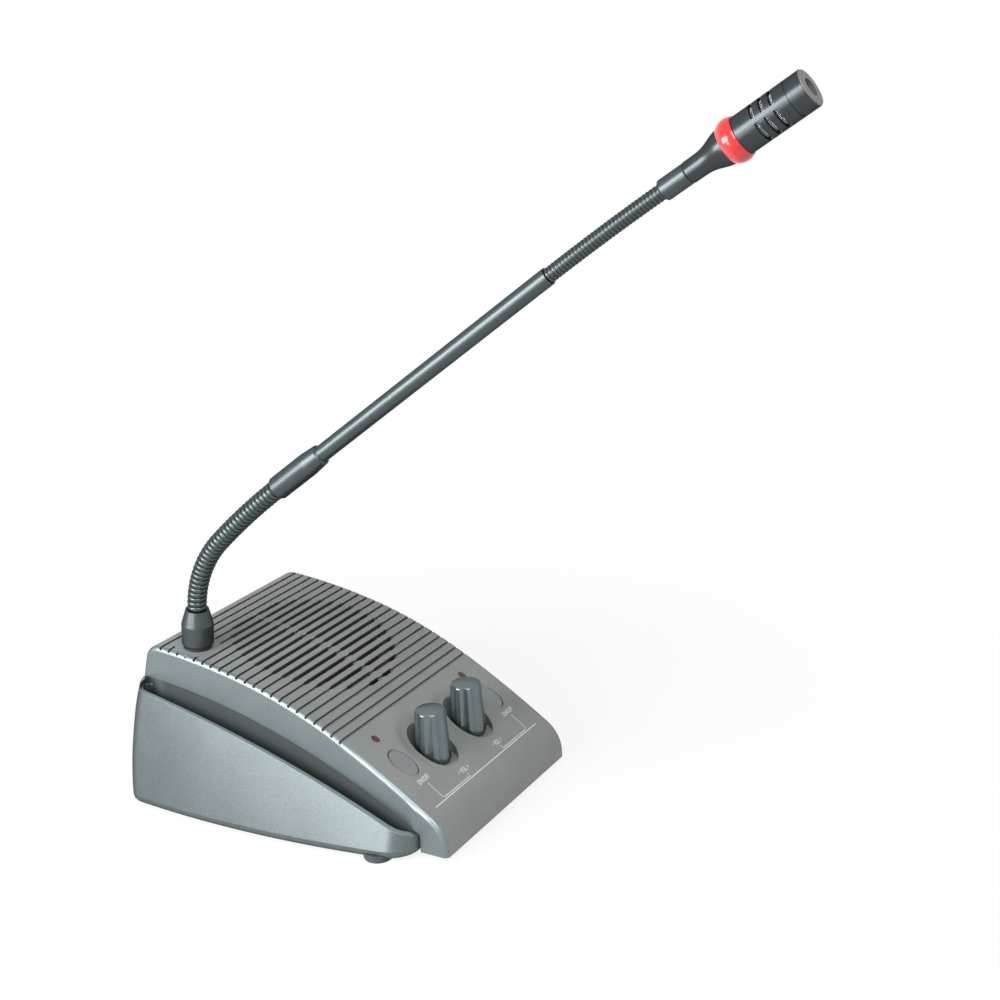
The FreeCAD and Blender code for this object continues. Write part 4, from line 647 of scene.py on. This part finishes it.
def line_of(start, before, after, stretches):
    """A line in one plane, as a function of the length along it.

    Each of its stretches has a length and the angle turned over it.
    """
    inward = before.cross(after).normalized().cross(before)

    def at(s):
        point, angle = start.copy(), 0.0
        for index, (length, turn) in enumerate(stretches):
            part = s if index == len(stretches) - 1 else min(s, length)
            turned = turn * part / length
            chord = part if not turn else 2 * length / turn * math.sin(turned / 2)
            middle = angle + turned / 2
            point += (before * math.cos(middle) + inward * math.sin(middle)) * chord
            angle, s = angle + turned, s - part
            if s <= 0:
                break
        return point
    return at


def hose(name, at, low, high, sizes, group, material):
    """Hose along a line from low to high, with a point for each millimetre."""
    count = round((high - low) / MM)
    points = [at(low + (high - low) * i / count) for i in range(count + 1)]
    return grown(name, group, sizes, material, points, [(i, i + 1) for i in range(count)])


# ---------------------------------------------------------------- marks on the panel
cover = NODES["top_cover"].data
COVER_SKIN = BVHTree.FromPolygons([v.co for v in cover.vertices],
                                  [p.vertices for p in cover.polygons])
ABOVE_COVER = 0.3                   # height from which the cover is probed
PRINT_HEIGHT = 0.03 * MM
LETTER_SPACING, LETTER_WEIGHT = 1.02, 0.008     # in letter widths and heights


def on_cover(x, y, lift):
    """The cover's skin below a place in the plan, with a lift above it."""
    hit = COVER_SKIN.ray_cast(Vector((x, y, ABOVE_COVER)), -UP)[0]
    return Vector((x, y, hit.z + lift))


def stroke(points, width):
    """Thin raised band along points in the plan, laid on the cover. Returns corners and faces."""
    corners, faces = [], []
    for index, point in enumerate(points):
        before = points[max(index - 1, 0)]
        after = points[min(index + 1, len(points) - 1)]
        run = (after - before).normalized()
        side = Vector((-run.y, run.x, 0)) * (width / 2)
        for offset, lift in ((side, 0), (side, PRINT_HEIGHT), (-side, PRINT_HEIGHT), (-side, 0)):
            corners.append(on_cover(point.x + offset.x, point.y + offset.y, lift))
    for k in range(0, 4 * (len(points) - 1), 4):
        faces += [(k + j, k + 4 + j, k + 4 + (j + 1) % 4, k + (j + 1) % 4) for j in range(4)]
    last = len(corners) - 1
    faces += [(0, 1, 2, 3), (last, last - 1, last - 2, last - 3)]
    return corners, faces


def trail(*knots, step=1.0 * MM):
    """Evenly divided line through knots."""
    points = [Vector((*knots[0], 0))]
    for a, b in zip(knots, knots[1:]):
        a, b = Vector((*a, 0)), Vector((*b, 0))
        count = max(1, round((b - a).length / step))
        points += [a.lerp(b, (i + 1) / count) for i in range(count)]
    return points


def rounded_corner(corner, back, ahead, radius, parts=5):
    """Points of a rounding at a corner, from the side of back to the side of ahead."""
    corner, back, ahead = (Vector((*p, 0)) for p in (corner, back, ahead))
    start = corner + (back - corner).normalized() * radius
    end = corner + (ahead - corner).normalized() * radius
    shares = [i / parts for i in range(parts + 1)]
    return [start.lerp(corner, t).lerp(corner.lerp(end, t), t)[:2] for t in shares]


def letters(name, text, x, y, height, stretch, material):
    """Text across the panel, laid on the cover."""
    curve = bpy.data.curves.new(name, "FONT")
    curve.body, curve.size, curve.align_x, curve.align_y = text, height, "CENTER", "CENTER"
    curve.extrude, curve.space_character = PRINT_HEIGHT / 2, LETTER_SPACING
    curve.offset = height * LETTER_WEIGHT
    flat = bpy.data.objects.new(name, curve)
    bpy.context.scene.collection.objects.link(flat)
    mesh = taken_mesh(flat)
    for vertex in mesh.vertices:
        lift = vertex.co.z + PRINT_HEIGHT / 2
        vertex.co = on_cover(x + vertex.co.x * stretch, y + vertex.co.y, lift)
    return shown(name, mesh, material)


def bands(name, strokes, material):
    """Several strokes as one piece."""
    mesh = bpy.data.meshes.new(name)
    corners, faces = [], []
    for points, sides in strokes:
        faces += [tuple(len(corners) + i for i in side) for side in sides]
        corners += points
    mesh.from_pydata(corners, [], faces)
    mesh.update()
    return shown(name, mesh, material)


# Places of the print in mm: sideways from the middle, and behind the cover's front edge.
LINE_LEFT, LINE_RIGHT, LINE_WIDTH = -46.4, 45.8, 0.4
LINE_ROW, BRACKET_ROW, BRACKET_FOOT, BRACKET_TOP = 10.1, 11.0, 12.6, 19.3
BRACKET_SIDE, BRACKET_WIDTH, BRACKET_BEND = 38.2, 0.32, 1.6
VOLUME_SIDE, VOLUME_ROW = 15.3, 14.4
SWITCH_SIDE, SWITCH_ROW = 38.4, 21.4
LETTER_HEIGHT, LETTER_STRETCH = 3.1, 0.75


def behind_front(distance):
    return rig.box("top_cover")[0].y + distance * MM


def add_print(material):
    """The long line, a bracket from each button to its knob, and their words."""
    y, height = behind_front, LETTER_HEIGHT * MM
    ends = [(x * MM, y(LINE_ROW)) for x in (LINE_LEFT, LINE_RIGHT)]
    strokes = [stroke(trail(*ends), LINE_WIDTH * MM)]
    for side in (-1, 1):
        out, inner = side * BRACKET_SIDE * MM, side * VOLUME_SIDE * MM
        corner, top, foot = (out, y(BRACKET_ROW)), (out, y(BRACKET_TOP)), (inner, y(BRACKET_ROW))
        bend = rounded_corner(corner, top, foot, BRACKET_BEND * MM)
        bracket = trail(top, *bend, foot, (inner, y(BRACKET_FOOT)))
        strokes.append(stroke(bracket, BRACKET_WIDTH * MM))
    marks = [bands("panel_lines", strokes, material)]
    for side, name in ((-1, "left"), (1, "right")):
        for suffix, text, x, row in (("_on_off", "ON/OFF", SWITCH_SIDE, SWITCH_ROW),
                                     ("_volume", "\u2212 VOL +", VOLUME_SIDE, VOLUME_ROW)):
            marks.append(letters(name + suffix, text, side * x * MM, y(row), height,
                                 LETTER_STRETCH, material))
    for mark in marks:
        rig.ride(mark, "case")
        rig.slot(mark, "cover")


# ---------------------------------------------------------------- flexible sections
HOSE_GROWTH = hose_growth()
HALF_RIBS = 17                      # ribs on each half of a section
LOWER_PITCH = 2.528 * MM
LOWER_TURN = math.radians(39.4)     # turned over the first curved stretch
LOWER_STRETCHES = (1.3 * MM, 39.7 * MM, 43.7 * MM, 8.0 * MM)
LOWER_BENT = 84.7 * MM              # the last stretch lies in the ferrule and stays straight
UPPER_LENGTH = 60.3 * MM


def fitted_hose(name, at, low, high, sizes, material, ends):
    """A stretch of ribbed hose that replaces its solid and bends between two bodies."""
    piece = hose(name, at, low, high, sizes, HOSE_GROWTH, material)
    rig.replaces(piece, ends["node"])
    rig.blend(piece, *ends["bodies"], start=at(ends["from"]), end=at(ends["to"]))
    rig.slot(piece, "flex_black")


def add_lower_section(material):
    """Straight out of the collar, two curves of one plane, and straight into the ferrule."""
    turns = (0.0, LOWER_TURN, COLLAR_AXIS.angle(STEM_AXIS) - LOWER_TURN, 0.0)
    start = end_of("mic_collar", COLLAR_AXIS, 1)
    line = line_of(start, COLLAR_AXIS, STEM_AXIS, tuple(zip(LOWER_STRETCHES, turns)))
    split = HALF_RIBS * LOWER_PITCH
    sizes = {"Pitch": LOWER_PITCH, "Radius": 4.7 * MM, "Rib": 0.9 * MM, "Core": 4.05 * MM}
    fitted_hose("lower_hose_a", line, 0.0, split, sizes, material,
                {"node": "lower_flex_a", "bodies": ("case", "flex_mid"), "from": 0.0, "to": split})
    fitted_hose("lower_hose_b", line, split, 2 * split, sizes, material,
                {"node": "lower_flex_b", "bodies": ("flex_mid", "stem"),
                 "from": split, "to": LOWER_BENT})


def add_upper_section(material):
    """One even curve from the stem's tube to the head."""
    length, split = UPPER_LENGTH, UPPER_LENGTH / 2
    start = end_of("stem_tube", STEM_AXIS, 1)
    line = line_of(start, STEM_AXIS, HEAD_AXIS, ((length, STEM_AXIS.angle(HEAD_AXIS)),))
    sizes = {"Pitch": split / HALF_RIBS, "Radius": 3.4 * MM, "Rib": 0.62 * MM, "Core": 2.95 * MM}
    fitted_hose("upper_hose_a", line, 0.0, split, sizes, material,
                {"node": "upper_flex_a", "bodies": ("stem", "neck_mid"), "from": 0.0, "to": split})
    fitted_hose("upper_hose_b", line, split, length, sizes, material,
                {"node": "upper_flex_b", "bodies": ("neck_mid", "mic_head"),
                 "from": split, "to": length})


# ---------------------------------------------------------------- microphone head
MESH_SIZES = {"Radius": 6.56 * MM, "Pitch": 0.62 * MM, "Wire": 0.13 * MM}
FOAM_BORE, FOAM_FLAT, FOAM_RADIUS = 2.0 * MM, 5.9 * MM, 6.25 * MM
FOAM_SECTION = (                    # radius, and share of the length
    (FOAM_BORE, 0.0), (FOAM_FLAT, 0.0), (FOAM_RADIUS, 0.03), (FOAM_RADIUS, 0.5),
    (FOAM_RADIUS, 0.97), (FOAM_FLAT, 1.0), (FOAM_BORE, 1.0),
)
FOAM_CORNERS = 48
FOAM_GAP = 0.2 * MM                 # between the foam and the capsule's holder


def add_woven_mesh(material):
    """Wire sleeve behind the barrel's slots."""
    low, high = end_of("barrel_mesh", HEAD_AXIS, -1), end_of("barrel_mesh", HEAD_AXIS, 1)
    sizes = {**MESH_SIZES, "Length": (high - low).length}
    sleeve = grown("woven_mesh", sleeve_growth(), sizes, material)
    turn = HEAD_AXIS.to_track_quat("Z", "Y").to_matrix().to_4x4()
    sleeve.data.transform(Matrix.Translation(low) @ turn)
    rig.replaces(sleeve, "barrel_mesh")
    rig.ride(sleeve, "mic_head")
    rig.slot(sleeve, "mesh")


def add_foam(material):
    """Open foam behind the mesh: a thick tube with bevelled ends."""
    low, high = end_of("barrel_mesh", HEAD_AXIS, -1), end_of("capsule_holder", HEAD_AXIS, -1)
    turn = HEAD_AXIS.to_track_quat("Z", "Y").to_matrix()
    length = (high - low).length - FOAM_GAP
    corners, faces, around = [], [], FOAM_CORNERS
    for radius, share in FOAM_SECTION:
        for k in range(around):
            angle = 2 * math.pi * k / around
            flat = Vector((math.cos(angle), math.sin(angle), 0)) * radius
            corners.append(low + turn @ (flat + UP * length * share))
    last = len(FOAM_SECTION) - 1
    for r in range(last + 1):
        for k in range(around):
            a, b = r * around + k, r * around + (k + 1) % around
            up = around if r < last else -r * around
            faces.append((a, b, b + up, a + up))
    mesh = bpy.data.meshes.new("mic_foam")
    mesh.from_pydata(corners, [], faces)
    mesh.shade_smooth()
    foam = shown("mic_foam", mesh, material)
    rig.ride(foam, "mic_head")
    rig.slot(foam, "rubber")


# ---------------------------------------------------------------- finishes of the CAD nodes
BLUE_BLACK, HEAD_BLACK = (0.07, 0.083, 0.088), (0.05, 0.058, 0.062)
SATIN = {"spread": 0.05, "size": 0.3, "depth": 0.0001 * MM, "uneven": 0.012,
         "Metallic": 0.8, "Specular_Tint": EDGE_TINT}


def dress(material, *names):
    for name in names:
        for slot in NODES[name].material_slots:
            slot.material = material


def pair(name):
    return "left_" + name, "right_" + name


def dress_outside():
    """The case, the controls and the microphone. Returns what its grown pieces need."""
    dress(cover_finish(), "top_cover")
    dress(case_finish(), "bottom_case")
    dress(button_finish(), *pair("button"))
    dress(moulded("knob_slate", (0.15, 0.178, 0.187), 0.26, edge=0.4 * MM, **SATIN), *pair("knob"))
    dress(moulded("lamp_red", (0.075, 0.016, 0.016), 0.25, 0.2, 0.6, 0.01 * MM, 0.1 * MM, IOR=1.4),
          *pair("lamp"))
    dress(moulded("stem_black", BLUE_BLACK, 0.34, edge=0.0, **SATIN),
          "mic_collar", "lower_ferrule", "stem_tube", "upper_ferrule")
    dress(moulded("head_black", HEAD_BLACK, 0.29, edge=0.0, **SATIN), "mic_neck", "mic_barrel")
    dress(ring_finish(), "light_ring")
    dress(moulded("disc_grey", (0.125, 0.123, 0.122), 0.45, 0.1, 0.4, edge=0.2 * MM), "front_disc")
    hose_black = moulded("flex_black", BLUE_BLACK, 0.26, edge=0.0, **SATIN)
    dress(hose_black, "lower_flex_a", "lower_flex_b", "upper_flex_a", "upper_flex_b")
    wire = drawn_metal("steel_wire", (0.38, 0.39, 0.4), 0.24, (1.0, 1.0, 1.0))
    dress(wire, "barrel_mesh")
    return hose_black, wire


def dress_inside():
    """What the case and the tubes hold, with the feet, screws and sockets."""
    dress(rubber_finish(), "rubber_feet", "speaker_gasket", "capsule_holder")
    dress(drawn_metal("plated_steel", (0.55, 0.56, 0.56), 0.34),
          "case_screws", "speaker_screws", "board_screws", "collar_washer",
          *pair("volume_pot"), *pair("pot_shaft"))
    dress(moulded("speaker_basket", (0.03, 0.032, 0.034), 0.42, 0.2), "speaker_frame")
    dress(cone_finish(), "speaker_cone")
    dress(moulded("ferrite", (0.035, 0.035, 0.037), 0.6, 0.3), "speaker_magnet")
    dress(board_finish(), "main_board", "panel_board", "ring_lamp_board")
    dress(drawn_metal("extruded_aluminium", (0.62, 0.63, 0.64), 0.4, (14.0, 1.0, 1.0)),
          "amplifier_heatsink", "mic_capsule")
    dress(moulded("component_black", (0.025, 0.025, 0.027), 0.45),
          "amplifier_chip", "board_capacitors", "outside_unit_socket", "power_socket",
          "recorder_socket", *pair("switch"), *pair("switch_plunger"))
    dress(moulded("header_white", (0.6, 0.58, 0.52), 0.45), "lead_headers")
    dress(drawn_metal("brass", (0.62, 0.44, 0.17), 0.3), "collar_nut", "tube_plug")
    dress(moulded("lead_sheath", (0.03, 0.03, 0.032), 0.4),
          "stem_lead", "head_lead", "capsule_lead")


# ---------------------------------------------------------------- camera, floor and light
LENS, SENSOR = 58.45, 36.0          # mm
CAMERA_PLACE = (-0.5838, -0.44877, 0.3798)
CAMERA_AXES = ((0.5049, -0.8614, -0.0554), (0.2989, 0.1142, 0.9474), (-0.8097, -0.4950, 0.3151))
AMBIENT = 0.35                      # strength of the sky's light on matt surfaces
FLOOR_HEIGHT, FLOOR_HALF = -3.0 * MM, 2.5
FLOOR_FADE = (0.09, 0.42, 0.85, 1.0)    # near and far distance, and how white it is there


def add_camera():
    data = bpy.data.cameras.new("camera")
    data.lens, data.sensor_width, data.sensor_fit = LENS, SENSOR, "HORIZONTAL"
    data.clip_start, data.clip_end = 0.01, 20.0
    camera = bpy.data.objects.new("camera", data)
    turn = Matrix(CAMERA_AXES).transposed().to_4x4()
    camera.matrix_world = Matrix.Translation(CAMERA_PLACE) @ turn
    bpy.context.scene.collection.objects.link(camera)
    bpy.context.scene.camera = camera


def emptied(owner):
    """Tree of a world or material, without its first nodes."""
    owner.use_nodes = True
    tree = Tree(owner.node_tree)
    tree.nodes.clear()
    return tree


def seen_directly(tree):
    """1 where the ray comes from the camera, a mirror or a lens."""
    path = tree.put("ShaderNodeLightPath").outputs
    camera, mirror, lens = (Value(tree, path[f"Is {kind} Ray"])
                            for kind in ("Camera", "Glossy", "Transmission"))
    return camera.math("MAXIMUM", mirror).math("MAXIMUM", lens)


def add_sky():
    """White all round, dimmer as a light than as a background."""
    world = bpy.data.worlds.new("studio")
    tree = emptied(world)
    strength = seen_directly(tree) * (1 - AMBIENT) + AMBIENT
    sky = tree.put("ShaderNodeBackground", None, {"Color": grey(1.0), "Strength": strength})
    tree.put("ShaderNodeOutputWorld", None, {"Surface": sky.outputs[0]})
    bpy.context.scene.world = world


def add_floor():
    """White paper that takes a faint shadow near the object and fades into the background."""
    paper = bpy.data.materials.new("floor_paper")
    tree = emptied(paper)
    lit = tree.put("ShaderNodeBsdfDiffuse", None, {"Color": grey(0.8)}).outputs[0]
    white = tree.put("ShaderNodeEmission", None, {"Color": grey(1.0)}).outputs[0]
    place = tree.put("ShaderNodeTexCoord").outputs["Object"]
    away = tree.add("ShaderNodeVectorMath", {"operation": "LENGTH"}, {0: place}, "Value")
    seen = seen_directly(tree) * away.ramp(*FLOOR_FADE)
    mix = tree.put("ShaderNodeMixShader", None, {0: seen, 1: lit, 2: white})
    tree.put("ShaderNodeOutputMaterial", None, {"Surface": mix.outputs[0]})
    corners = [(x * FLOOR_HALF, y * FLOOR_HALF, FLOOR_HEIGHT)
               for x, y in ((-1, -1), (1, -1), (1, 1), (-1, 1))]
    mesh = bpy.data.meshes.new("floor")
    mesh.from_pydata(corners, [], [(0, 1, 2, 3)])
    floor = shown("floor", mesh, paper)
    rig.stage(floor)


def add_lamp(name, place, target, along, size, power):
    """A soft box at place that faces target, its long side turned along a direction."""
    data = bpy.data.lights.new(name, "AREA")
    data.shape, data.energy = "RECTANGLE", power
    data.size, data.size_y = size
    lamp = bpy.data.objects.new(name, data)
    place, along = Vector(place), Vector(along)
    back = (place - Vector(target)).normalized()
    side = (along - back * along.dot(back)).normalized()
    turn = Matrix((side, back.cross(side), back)).transposed().to_4x4()
    lamp.matrix_world = Matrix.Translation(place) @ turn
    bpy.context.scene.collection.objects.link(lamp)


bpy.context.scene.view_settings.view_transform = "Standard"
add_camera()
hose_material, mesh_material = dress_outside()
dress_inside()
add_lower_section(hose_material)
add_upper_section(hose_material)
add_woven_mesh(mesh_material)
add_foam(moulded("foam_black", (0.006, 0.006, 0.006), 0.9, 0.5, 0.5, 0.2 * MM))
add_print(print_finish())
add_sky()
add_floor()
add_lamp("key", place=(-0.45, -0.55, 0.80), target=(0, -0.02, 0.04), along=(1, -1, 0),
         size=(0.5, 0.5), power=5.4)
add_lamp("strip", place=(-0.58, 0.20, 0.35), target=(-0.03, -0.07, 0.20),
         along=(-0.08, -0.39, 0.23), size=(0.56, 0.28), power=7.0)
add_lamp("low", place=(-0.75, 0.02, 0.17), target=(-0.06, -0.06, 0.02), along=(0, 1, 0),
         size=(0.3, 0.22), power=1.4)

with open("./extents.json", "w") as sizes:
    json.dump({"cad": CAD_BOX, "visual": [list(corner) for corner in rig.bounds()]}, sizes)
